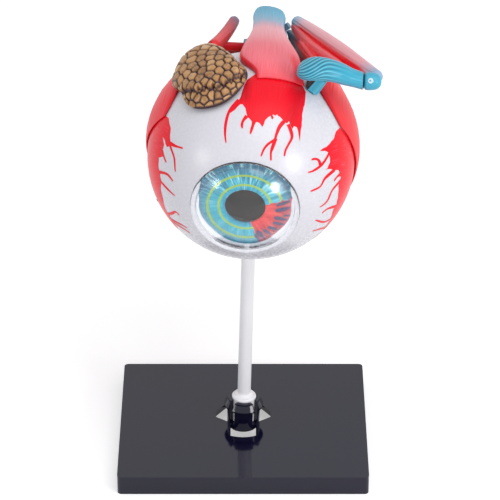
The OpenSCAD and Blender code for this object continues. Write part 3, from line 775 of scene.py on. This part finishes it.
# ---------- lateral rectus heads ----------
def soft_rod(name, a, b, r0, r1, material, side, bend=(0, 0, 0)):
    """A rod between two points with rounded ends, bowed out by bend in the middle."""
    a, b = np.asarray(a, float), np.asarray(b, float)
    f = np.linspace(0, 1, 60)
    path = a + (b - a) * f[:, None] + np.outer(np.sin(np.pi * f), bend)
    r = r0 + (r1 - r0) * f
    end = np.minimum(f, 1 - f) * np.linalg.norm(b - a)
    tube(name, path, r * dome_end(end / r, 0.01), material, "lateral_rectus", side, 31, 0.07, 8, 48)


def inner_side(ang, f):
    """The side of a head that faces the middle of the model is the darker one."""
    return 0.9 * smoothstep((np.cos(ang - 4.4) + 0.25) * 2) * smoothstep((0.97 - f) * 8)


def below_top(ang, _):
    """All but the top of the lower head is the darker red."""
    return 0.85 * smoothstep((0.75 - np.cos(ang)) * 3)


soft_rod("lateral_rectus_upper_head", [-14.6, 30, 19.6], [-10.0, 65.4, 8.3], 2.2, 1.75, M_HEAD, inner_side,
         (0.3, 0, -0.6))
soft_rod("lateral_rectus_lower_head", [-13.4, 47.5, 9.2], [-5.2, 56.4, 3.8], 1.5, 1.4, M_LR, below_top)

# ---------- gland ----------
# outlines are pairs of a turn in degrees and a place along the axis in millimetres
GLAND_OUTLINE = [[-45, 1.5], [-43, -2.8], [-39.4, -5.4], [-38.4, -8.6], [-36, -11.8], [-31.5, -13.9],
                 [-25, -15], [-17.5, -15], [-11, -13.6], [-6.4, -11.2], [-3.4, -8.2], [-2.4, -5.4],
                 [-4, -2.8], [-7.4, -0.2], [-11.5, 3.8], [-18.5, 9.8], [-26, 13], [-33, 12.3], [-39.5, 9]]
GLAND_MID = np.array([-24.0, -2.0])
GLAND_T = 5.2
# from the foot up: share of the way from the middle to the outline, and share of the thickness
GLAND_PROFILE = [[0.86, 0], [0.94, 0.14], [1, 0.28], [0.99, 0.45], [0.93, 0.64], [0.82, 0.8],
                 [0.66, 0.91], [0.45, 0.97], [0.24, 1], [0.02, 1]]
FLAT_ROWS = 8
# the fold between the big upper lobe and the lower one, and the right lobe's border
GLAND_FOLD = [(-40, -6.6), (-35.1, -8.2), (-31.7, -9.3), (-28.5, -10.1), (-24.6, -10.3), (-20.9, -10.8),
              (-17.1, -10.7), (-14.5, -10.4), (-11.5, -9.5), (-9, -8.7), (-6.7, -7.6), (-4.3, -6.6),
              (0, -5.2)]
GLAND_RIGHT = [(-8.5, -4.2), (-6.2, -5.6), (-3.7, -6.8), (-0.9, -8.2), (3, -10.2), (8, -12)]


def spread(points, pull):
    """Seeds over a cloud of points, a pull apart, evened out."""
    order = np.arange(len(points))
    rng.shuffle(order)
    seeds = []
    for k in order:
        q = points[k]
        if not seeds or ((np.array(seeds) - q) ** 2).sum(1).min() > pull[k] ** 2:
            seeds.append(q)
    seeds = np.array(seeds)
    for _ in range(3):
        near = ((points[:, None] - seeds[None]) ** 2).sum(-1).argmin(1)
        for i in range(len(seeds)):
            mine = points[near == i]
            if len(mine):
                seeds[i] = mine.mean(0)
    return seeds


def gland_place(turn, y, h):
    """A place on the gland's bed, raised by h."""
    off = np.where(y < 0, np.sqrt(ARC_R**2 - np.minimum(y, 0) ** 2), ARC_R)
    return around(y * np.where(y < 0, 1 + h / ARC_R, 1), off * (1 + h / ARC_R), turn)


def gland_borders(turn, y):
    """How far a place is above the fold, and how far left of the right lobe's border."""
    fold, right = np.array(GLAND_FOLD), np.array(GLAND_RIGHT)
    wave = 0.35 * np.sin(turn * 1.7) + 0.25 * np.sin(turn * 3.1 + 1)
    d = y - np.interp(turn, fold[:, 0], fold[:, 1]) + wave
    return d, (np.interp(y, right[:, 0], right[:, 1]) - turn) * 0.55


def gland_lobes(turn, y, d, e):
    """Height of the lobes over an even gland: folds below it, bulges above it."""
    lobes = -1.25 * smoothstep((0.35 - d) / 0.9) + 0.5 * hump(d, 2.0, 1.4)
    lobes = np.minimum(lobes, -1.3 * smoothstep((0.3 - e) / 0.8) + 0.35 * hump(e, 1.5, 1.2))
    lobes = lobes - 0.75 * hump(d, 0, 0.4) * (e > 0) - 0.6 * hump(e, 0, 0.35) * (d > -0.5)
    return lobes + np.exp(-(((turn + 34) / 9) ** 2 + ((y - 6) / 6) ** 2))


def two_nearest(points, seeds):
    """The nearest seed of each point, and the distances to the nearest two."""
    dist = np.sqrt(((points[:, None] - seeds[None]) ** 2).sum(-1))
    nearest = np.argsort(dist, 1)[:, :2]
    first, second = np.take_along_axis(dist, nearest, 1).T
    return nearest[:, 0], first, second


def gland_piece():
    """Three lobes with folds between them, covered with raised scales."""
    cols = 340
    edge = closed_curve(GLAND_OUTLINE, np.linspace(0, 1, cols, endpoint=False))
    flat = [[k, 0] for k in np.linspace(0.02, 0.84, FLAT_ROWS)]
    prof = np.concatenate([flat, curve(GLAND_PROFILE, np.linspace(0, 1, 150))])
    level = prof[:, 1:]
    p = GLAND_MID + (edge[None] - GLAND_MID) * prof[:, 0][:, None, None]
    turn, y = p[..., 0], p[..., 1]
    d, e = gland_borders(turn, y)
    height = level * GLAND_T
    body = height + gland_lobes(turn, y, d, e) * smoothstep((level - 0.3) * 3)
    body = np.maximum(body, np.minimum(height, 0.2))
    base = gland_place(turn, y, body).reshape(-1, 3)

    crease = np.minimum(np.abs(d), np.abs(e)).ravel()
    on_top = np.repeat(np.arange(len(prof)) >= FLAT_ROWS + 12, cols)
    pull = (1.85 + 0.85 * smoothstep((crease - 0.6) / 3.5))[on_top][::5]
    seeds = spread(base[on_top][::5], pull)
    mine, first, second = two_nearest(base, seeds)
    jitter = 0.1 * np.sin(base[:, 0] * 5.1) * np.sin(base[:, 1] * 4.3 + 1) * np.sin(base[:, 2] * 4.7 + 2)
    gap = second - first + jitter
    plate = smoothstep((gap - 0.3) / 0.36)
    pillow = plate * (0.86 + 0.14 * smoothstep((gap - 0.3) / 1.6))
    pillow = pillow + 0.2 * (rng.rand(len(seeds))[mine] - 0.5) * plate
    tone = np.clip(rng.rand(len(seeds))[mine] * 0.8 + 0.25 * smoothstep(gap / 2), 0, 1)

    foot_width = 0.4 * smoothstep((-y - 7) / 4) * smoothstep((turn + 37) / 6)
    foot = smoothstep((level - 0.12 - foot_width) / 0.06)
    foot = foot * (1 - smoothstep((-e - 0.6) / 0.8) * smoothstep((-y - 3.4) / 1.2))
    bare = foot * (1 - 0.9 * hump(d, 0, 0.3) * (e > 0))
    lift = (pillow.reshape(turn.shape) * bare * 0.62 - 0.5) * smoothstep(level / 0.15)
    points = gland_place(turn, y, np.maximum(body + lift, 0.05 * (level > 0)))
    mesh_piece("lacrimal_gland_scales", points, closed_faces(len(prof), cols), M_GLAND, "gland",
               ("lacrimal_gland",), None,
               {"edge": plate.reshape(turn.shape) * bare, "tone": tone})


gland_piece()


# ---------- cornea and iris ----------
DOME_R, DOME_WALL, FLANGE_R, FLANGE_T = 20.5, 1.1, 16.6, 1.3
FOOT_R = FLANGE_R - 1.5
DOME_Y = FRONT_Y - FLANGE_T + math.sqrt(DOME_R**2 - FOOT_R**2)


def cornea_piece():
    """The clear dome on its flange; places count forwards from the ball's centre."""
    inner_r = DOME_R - DOME_WALL
    f = -FRONT_Y

    def arc(r, a, b):
        return [[r * math.sin(t), -DOME_Y + r * math.cos(t)] for t in np.linspace(a, b, 48)]

    outer = arc(DOME_R, 0, math.asin(FOOT_R / DOME_R))
    inner = arc(inner_r, math.acos((f + 0.14 + DOME_Y) / inner_r), 0)
    flange = [[FOOT_R + 0.12, f + FLANGE_T - 0.12], [FLANGE_R - 0.5, f + FLANGE_T],
              [FLANGE_R - 0.12, f + 0.85], [FLANGE_R, f + 0.6], [FLANGE_R, f + 0.24],
              [FLANGE_R - 0.12, f + 0.14]]
    profile = np.array(outer + flange + inner)
    profile[0, 0] = profile[-1, 0] = 0
    dome = lathe("cornea_dome", profile, (0, 0, 0), (0, -1, 0), M_CLEAR, "cornea", 192, ("cornea",))
    # the flange's outer edge is a little darker: a grey-blue glass tint, painted shade for the dark lines at
    # its rim
    dome.data.materials.append(M_RIM_SHADE)
    first, last = len(outer) + 3, len(outer) + len(flange) - 1
    for poly in dome.data.polygons:
        place = [v % len(profile) for v in poly.vertices]
        if min(place) >= first and max(place) <= last:
            poly.material_index = 1
    # the clear pieces let the light through to what lies under them
    for ob in (dome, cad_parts["lens"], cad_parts["vitreous_body"]):
        ob.visible_shadow = False


cornea_piece()


def rim_drop(r):
    """The printed face drops a little near its rim."""
    return 0.21 * smoothstep((r - 13.7) / 0.5)


def there_and_back(x):
    """Values for the front face and, in reverse, for the back."""
    return np.concatenate([x, x[::-1]])


def iris_piece():
    """Front face in rings, with the wedge's edge as real data, then the sides and back."""
    rings, cols = 60, 360
    turn, share = np.meshgrid(np.linspace(0, 360, cols, endpoint=False), np.linspace(0, 1, rings))
    from_top = np.minimum(turn, 360 - turn)
    # at the top the printing runs on over the rim of the shell
    out = (PRINT_W + 1.9 * smoothstep((78 - from_top) / 34)) * share
    r = PUPIL_R + out
    y_face = FRONT_Y + 0.05
    fine = 0.03 * np.sin(np.radians(turn) * 90) * np.sin(np.pi * np.clip((r - PUPIL_R) / PRINT_W, 0, 1))
    front = around(y_face + 0.08 + fine - rim_drop(r), r, turn)
    back = around(np.where(r > IRIS_R, FRONT_Y - 0.03, y_face + 1.0), r, turn)[::-1]
    rows = 2 * rings
    faces = []
    for i in range(rows):
        for j in range(cols):
            k, m = (j + 1) % cols, (i + 1) % rows
            faces.append((i * cols + j, i * cols + k, m * cols + k, m * cols + j))
    uneven = 1.2 * np.sin(r * 2.1) + 0.8 * np.sin(r * 5.3 + 1)
    start = 79 - 6 * (r - PUPIL_R) / 7.5
    end = 162.5 - 2.5 * (r - PUPIL_R) / 7.5
    wedge = smoothstep((turn - (start + uneven)) / 1.2) * smoothstep(((end + uneven) - turn) / 1.2)
    # the printing ends further in at two places below, and further out at the top
    print_r = (13.55 + 3.5 * smoothstep((84 - from_top) / 36) - 0.8 * hump(turn, 228, 26)
               - 0.8 * hump(turn, 130, 22))
    data = {"wedge": wedge, "upper": smoothstep((100 - from_top) / 60),
            "border": smoothstep((r - print_r) / 0.25)}
    mesh_piece("iris_disc", np.concatenate([front, back]), faces, M_IRIS, "iris", ("iris",),
               np.stack([there_and_back(turn) / 360, there_and_back(r) / IRIS_R], -1),
               {key: there_and_back(x) for key, x in data.items()})


iris_piece()


def blob(inner, outer, width, name):
    """A small raised drop on the iris, from its blunt inner end to its slim outer one."""
    rows, cols = 8, 40
    rho = np.linspace(0.02, 1, rows)[:, None]
    a = circle(cols)[None]
    along = 0.5 + 0.5 * rho * np.cos(a)
    side = rho * width / 2 * np.sin(a) * (1.25 - 0.6 * along) * (1 + 0.12 * np.sin(5 * a + inner[0]))
    r = inner[1] + (outer[1] - inner[1]) * along
    t = inner[0] + (outer[0] - inner[0]) * along + np.degrees(side / r)
    y = FRONT_Y + 0.1 - 0.12 * (1 - rho**2) - rim_drop(r)
    faces = grid_faces(rows, cols, flip=True) + [tuple(range(cols))]
    mesh_piece(name, around(y, r, t), faces, M_NAVY, "iris")


# both ends as a turn and a distance off the axis, then the width
BLOBS = [((83, 9.2), (76.5, 13.7), 1.1), ((95, 8.9), (86.5, 13.4), 1.55),
         ((110.5, 9.2), (106.5, 13.2), 1.3), ((121, 9.8), (115, 13.2), 1.2),
         ((134, 9.7), (127.5, 12.8), 1.35), ((144.5, 9.6), (140, 12.6), 1.2),
         ((155.5, 9.2), (151, 13.2), 1.5), ((162, 10.2), (158.8, 13.2), 1.1),
         ((102, 11.6), (98.5, 13.6), 0.8)]
for i, (inner, outer, width) in enumerate(BLOBS):
    blob(inner, outer, width, f"iris_navy_{i}")

# ---------- printing on the ball ----------
# outlines and branches are pairs of a turn in degrees and a place along the axis in millimetres
TOP_PRINT = [(1.4, -3.2), (-2.8, -6.0), (-4.4, -9.2), (-5.5, -12.0), (-6.3, -13.0), (-9.3, -14.5),
             (-11.8, -15.7), (-12.0, -17.0), (-9.0, -16.2), (-5.6, -14.6), (-4.4, -14.7), (-2.5, -15.9),
             (-1.7, -17.3), (-1.1, -18.1), (-0.2, -18.4), (1.6, -19.1), (3.6, -19.8), (5.6, -19.3),
             (7.4, -19.5), (9.8, -20.3), (10.5, -19.5), (10.7, -18.6), (12.2, -17.6), (13.6, -17.0),
             (14.6, -17.7), (15.5, -17.8), (15.8, -17.2), (14.7, -16.8), (15.2, -16.4), (16.4, -16.7),
             (17.3, -16.1), (18.4, -16.5), (19.5, -16.5), (22.0, -17.1), (23.6, -17.4), (25.1, -17.5),
             (25.8, -16.7), (27.6, -17.5), (29.7, -18.2), (30.0, -17.3), (32.2, -17.2), (34.9, -18.5),
             (38.1, -20.0), (35.9, -18.0), (32.5, -13.4), (30.7, -4.5), (28, -2.2), (10, -2.8)]
LEFT_PRINT = [(-61.3, -3.6), (-56.3, -6.1), (-53.8, -9.1), (-54.2, -12.9), (-56.6, -14.4), (-59.3, -16.7),
              (-61.9, -16.6), (-63.1, -16.1), (-62.3, -14.2), (-62.9, -12.2), (-64.5, -14.8),
              (-69.1, -15.3), (-70.1, -16.7), (-74.2, -15.0), (-79.5, -16.1), (-82.5, -17.3),
              (-87.2, -18.5), (-94.4, -18.2), (-101.9, -18.7), (-109.8, -17.9), (-114.6, -18.7),
              (-119.6, -18.2), (-127.0, -18.4), (-132, -14), (-128, -4), (-118, 6), (-100, 3),
              (-80, -0.5)]
RIGHT_PRINT = [(59.1, -5.9), (57.3, -9.0), (58.1, -11.1), (57.5, -13.8), (56.8, -15.5), (54.4, -18.0),
               (57.5, -16.7), (60.3, -16.1), (64.1, -16.6), (66.2, -17.2), (67.9, -18.8), (66.9, -19.9),
               (69.2, -18.4), (72.4, -17.2), (75.6, -15.3), (79.3, -15.0), (82.5, -14.9), (86.8, -16.3),
               (92.0, -16.2), (100.0, -16.1), (105.8, -17.0), (112.5, -15.9), (118.8, -15.6),
               (126.3, -13.5), (131.6, -15.9), (134, -11), (128, -2), (112, 4), (95, 0), (75, -3)]
VESSELS = [
    [(-6.6, -13.3), (-12.1, -16.1), (-15.2, -19.2), (-16.9, -22.0), (-17.1, -23.9)],
    [(-1.3, -18.0), (-3.7, -19.3), (-4.4, -20.3), (-4.0, -21.1)],
    [(3.6, -19.5), (2.7, -21.0), (1.9, -22.3)],
    [(22.9, -17.3), (21.1, -19.1), (20.6, -21.0), (20.4, -22.3), (16.7, -23.7), (14.5, -24.9),
     (13.6, -26.3)],
    [(21.1, -22.0), (20.9, -24.0), (21.3, -25.2), (23.8, -26.4)],
    [(26.0, -17.6), (29.8, -19.1), (31.8, -20.3), (31.6, -22.3), (31.6, -23.5), (33.0, -24.6)],
    [(-59.8, -15.8), (-56.7, -18.2), (-52.0, -20.4)],
    [(-58.6, -14.6), (-60.4, -17.3), (-62.8, -20.3), (-69.9, -22.4)],
    [(-68.5, -15.2), (-69.7, -17.0), (-70.9, -18.7)],
    [(-82.6, -16.7), (-77.5, -20.3), (-78.3, -22.7)],
    [(-87.3, -17.9), (-88.4, -21.0), (-90.0, -23.8)],
    [(-114.6, -18.0), (-110.8, -20.9), (-106.9, -23.0), (-109.2, -24.0)],
    [(-118.4, -18.4), (-120.0, -22.6), (-122.8, -24.2)],
    [(-120.7, -18.2), (-124.9, -22.4), (-129.4, -23.5)],
    [(61.2, -15.9), (61.4, -16.6), (62.4, -19.8), (60.8, -22.5), (58.4, -23.7)],
    [(62.1, -20.2), (58.2, -19.9), (55.3, -20.4), (53.3, -21.3)],
    [(73.2, -16.6), (72.8, -20.5), (76.1, -22.5), (74.7, -25.0)],
    [(79.6, -14.7), (79.1, -16.4), (79.9, -17.9)],
    [(83.8, -15.0), (85.7, -18.8), (92.5, -20.8), (94.6, -22.9)],
    [(102.7, -15.5), (99.9, -19.7), (101.6, -21.7)],
    [(113.0, -15.0), (112.7, -19.1), (107.0, -23.2)],
    [(122.8, -12.7), (119.7, -18.7), (119.6, -21.7)]]
PRINT_LIFT = 0.04
# length of one degree of turn on the ball
MM_PER_DEGREE = 0.56


def clip(poly, keep_front):
    """The part of an outline in front of the seam, or behind it."""
    out = []
    sign = -1 if keep_front else 1
    for i in range(len(poly)):
        a, b = poly[i - 1], poly[i]
        ia, ib = (a[1] - SEAM_Y) * sign >= 0, (b[1] - SEAM_Y) * sign >= 0
        if ia != ib:
            t = (SEAM_Y - a[1]) / (b[1] - a[1])
            out.append((a[0] + (b[0] - a[0]) * t, SEAM_Y))
        if ib:
            out.append(b)
    return out


def inside(poly, x, y):
    """Which of the places lie within an outline."""
    hit = np.zeros(len(x), bool)
    for i in range(len(poly)):
        (x0, y0), (x1, y1) = poly[i - 1], poly[i]
        cross = (y0 > y) != (y1 > y)
        with np.errstate(divide="ignore", invalid="ignore"):
            hit ^= cross & (x < (x1 - x0) * (y - y0) / (y1 - y0) + x0)
    return hit


def densified(poly, step):
    """The outline with points no further apart than about a step, in millimetres on the ball."""
    out = []
    for i in range(len(poly)):
        a, b = np.array(poly[i - 1], float), np.array(poly[i], float)
        n = max(1, int(np.hypot((b[0] - a[0]) * MM_PER_DEGREE, b[1] - a[1]) / step))
        out += [tuple(a + (b - a) * k / n) for k in range(1, n + 1)]
    return out


def ragged(poly, amount, seed):
    """Adds small random steps to an outline, so that its edge looks hand drawn."""
    r = np.random.RandomState(seed)
    out = []
    for i in range(len(poly)):
        a, b = np.array(poly[i - 1], float), np.array(poly[i], float)
        steps = max(1, int(np.hypot((b[0] - a[0]) * 0.5, b[1] - a[1]) / 0.9))
        for k in range(1, steps + 1):
            p = a + (b - a) * k / steps
            if k < steps and p[1] < -7:
                p = p + r.uniform(-1, 1, 2) * (amount * 1.6, amount)
            out.append(tuple(p))
    return out


def filled(outline, spacing):
    """Places and triangles that fill an outline, facing out of the ball."""
    p = np.array(outline)
    xs = np.arange(p[:, 0].min(), p[:, 0].max(), spacing * 1.9)
    ys = np.arange(p[:, 1].min(), p[:, 1].max(), spacing)
    gx, gy = [a.ravel() for a in np.meshgrid(xs, ys)]
    ok = inside(outline, gx, gy)
    pts = [Vector(q) for q in outline] + [Vector((a, b)) for a, b in zip(gx[ok], gy[ok])]
    verts, _, faces, *_ = delaunay_2d_cdt(pts, [], [list(range(len(outline)))], 1, 1e-5)
    places = np.array([tuple(v) for v in verts])
    pos = on_ball(places[:, 0], places[:, 1], BALL_R + PRINT_LIFT)
    tri = []
    for f in faces:
        a, b, c = (pos[k] for k in f[:3])
        tri.append(tuple(f) if np.dot(np.cross(b - a, c - a), a) > 0 else tuple(f)[::-1])
    return places, pos, tri


def decal(name, poly, fibre, spacing=0.9, slant=0.0, shade=None):
    """A thin skin of printing on the ball, filled from its outline, in one part per shell."""
    for part, body in (("front", "front_shell"), ("rear", "globe")):
        q, pos, tri = filled(densified(clip(poly, part == "front"), 1.2), spacing)
        uv = np.stack([q[:, 0] + slant * q[:, 1], q[:, 1] - slant * q[:, 0] * 0.3], -1)
        shades = shade(q[:, 0], q[:, 1]) if shade else np.zeros(len(pos))
        mesh_piece(f"{name}_{part}", pos, tri, M_PRINT, body, (), uv,
                   {"fibre": np.full(len(pos), fibre), "shade": shades}, False)


def top_shade(turn, y):
    """Painted shade on the top print: darker along its left border and near its right one."""
    left = smoothstep((1.5 - turn) / 4) * smoothstep((y + 15) / 3)
    return 0.75 * left * (0.6 + 0.4 * np.sin(turn * 2.2)) + 0.35 * hump(turn, 27, 3.5)


decal("print_top", ragged(TOP_PRINT, 0.12, 1), 0.6, spacing=0.7, shade=top_shade)
decal("print_left", ragged(LEFT_PRINT, 0.2, 2), 5.0, slant=1.2)
decal("print_right", ragged(RIGHT_PRINT, 0.2, 3), 5.0, slant=-1.2)


def vessel(i, pts):
    """A tapered line of printing, slightly raised along its middle."""
    along, across_rows = 40, 5
    lift = 0.05
    f = np.linspace(0, 1, along)
    c = curve(pts, f)
    pos = on_ball(c[:, 0], c[:, 1], BALL_R + lift)
    across = np.cross(np.gradient(pos, axis=0), pos)
    across /= np.linalg.norm(across, axis=1)[:, None]
    r = np.random.RandomState(40 + i)
    w = (1.15 - 0.7 * f) / 2 * (1 + 0.12 * np.sin(9 * f + r.rand() * 6))
    w = w * np.sqrt(np.clip((1 - f) / 0.04, 0.02, 1))
    rows = []
    for k in np.linspace(-1, 1, across_rows):
        q = pos + across * (w * k)[:, None]
        rows.append(q / np.linalg.norm(q, axis=1)[:, None] * (BALL_R + lift + 0.05 * (1 - k * k)))
    points = np.concatenate(rows)
    faces = grid_faces(across_rows, along, wrap_cols=False)
    a, b, c = (points[k] for k in faces[0][:3])
    if np.dot(np.cross(b - a, c - a), a) < 0:
        faces = [q[::-1] for q in faces]
    uv = np.concatenate([np.stack([np.full(along, k), f * 8], -1) for k in range(across_rows)])
    none = np.zeros(len(points))
    mesh_piece(f"print_vessel_{i}", points, faces, M_PRINT, "front_shell", (), uv,
               {"fibre": none, "shade": none}, False)


for i, pts in enumerate(VESSELS):
    vessel(i, pts)


# ---------- floor, light and camera ----------
def floor():
    """A white floor, evenly white to the camera, in reflections and through clear pieces."""
    me = bpy.data.meshes.new("floor")
    me.from_pydata([(-3, -3, 0), (3, -3, 0), (3, 3, 0), (-3, 3, 0)], [], [(0, 1, 2, 3)])
    ob = bpy.data.objects.new("floor", me)
    bpy.context.scene.collection.objects.link(ob)
    n = Paint("floor_white")
    path = n.add("ShaderNodeLightPath").outputs
    indirect = n.math("ADD", path["Is Glossy Ray"], path["Is Transmission Ray"])
    seen = n.math("ADD", path["Is Camera Ray"], indirect, True)
    tones = [(0.3, (0.82, 0.82, 0.82, 1)), (0.7, (0.84, 0.84, 0.84, 1))]
    n.set(Base_Color=n.ramp(n.noise(n.coords(), 3, 2), tones), Roughness=0.8, Specular_IOR_Level=0.1,
          Emission_Color=(1, 1, 1, 1), Emission_Strength=n.math("MULTIPLY", seen, 0.45))
    me.materials.append(n.material)


def studio_world():
    """White to the camera, in reflections and through clear pieces, and dimmer as a light."""
    world = bpy.data.worlds.new("studio")
    bpy.context.scene.world = world
    n = Nodes(world)
    path = n.add("ShaderNodeLightPath").outputs
    direct = n.math("ADD", path["Is Camera Ray"], path["Is Glossy Ray"])
    seen = n.math("ADD", direct, path["Is Transmission Ray"], True)
    light = n.add("ShaderNodeBackground", _0=(0.96, 0.97, 1.0, 1), _1=0.53).outputs[0]
    white = n.add("ShaderNodeBackground", _0=(1, 1, 1, 1), _1=1.0).outputs[0]
    mixed = n.add("ShaderNodeMixShader", _0=seen, _1=light, _2=white).outputs[0]
    n.add("ShaderNodeOutputWorld", Surface=mixed)


def aim(ob, place, direction):
    """Puts a lamp or the camera at a place, looking along a direction."""
    ob.location = place
    ob.rotation_mode = "QUATERNION"
    ob.rotation_quaternion = direction.to_track_quat("-Z", "Y")
    bpy.context.scene.collection.objects.link(ob)


def softbox(name, azimuth, elevation, distance, size, power):
    """An elliptic lamp that looks at the ball; the azimuth counts from the front to the right."""
    a, e = math.radians(azimuth), math.radians(elevation)
    at = Vector((math.sin(a) * math.cos(e), -math.cos(a) * math.cos(e), math.sin(e))) * distance
    light = bpy.data.lights.new(name, "AREA")
    light.shape = "ELLIPSE"
    light.size, light.size_y = size
    light.energy = power
    aim(bpy.data.objects.new(name, light), Vector(EYE_T) + at, -at)


# focal length in pixels of a photo this wide, tilt in degrees, distance and target in metres
FOCAL_PX, PHOTO_PX = 2794.0, 500
CAMERA_TILT, CAMERA_DISTANCE = 31.3, 0.8794
CAMERA_TARGET = Vector((0.0022, 0, 0.0711))


def photo_camera():
    """The camera that took the photo."""
    camera = bpy.data.cameras.new("camera")
    camera.sensor_width = 36
    camera.lens = FOCAL_PX * camera.sensor_width / PHOTO_PX
    camera.clip_start, camera.clip_end = 0.05, 20
    cam = bpy.data.objects.new("camera", camera)
    tilt = math.radians(CAMERA_TILT)
    back = Vector((0, -math.cos(tilt), math.sin(tilt)))
    aim(cam, CAMERA_TARGET + back * CAMERA_DISTANCE, -back)
    bpy.context.scene.camera = cam


floor()
studio_world()
softbox("softbox_left", -57.5, 15.3, 1.0, (0.24, 0.28), 1.0)
softbox("softbox_right", 47.9, 12.8, 1.0, (0.28, 0.32), 2.6)
softbox("overhead", 40, 60, 1.1, (0.9, 0.9), 4.0)
photo_camera()
bpy.context.scene.view_settings.view_transform = "Standard"
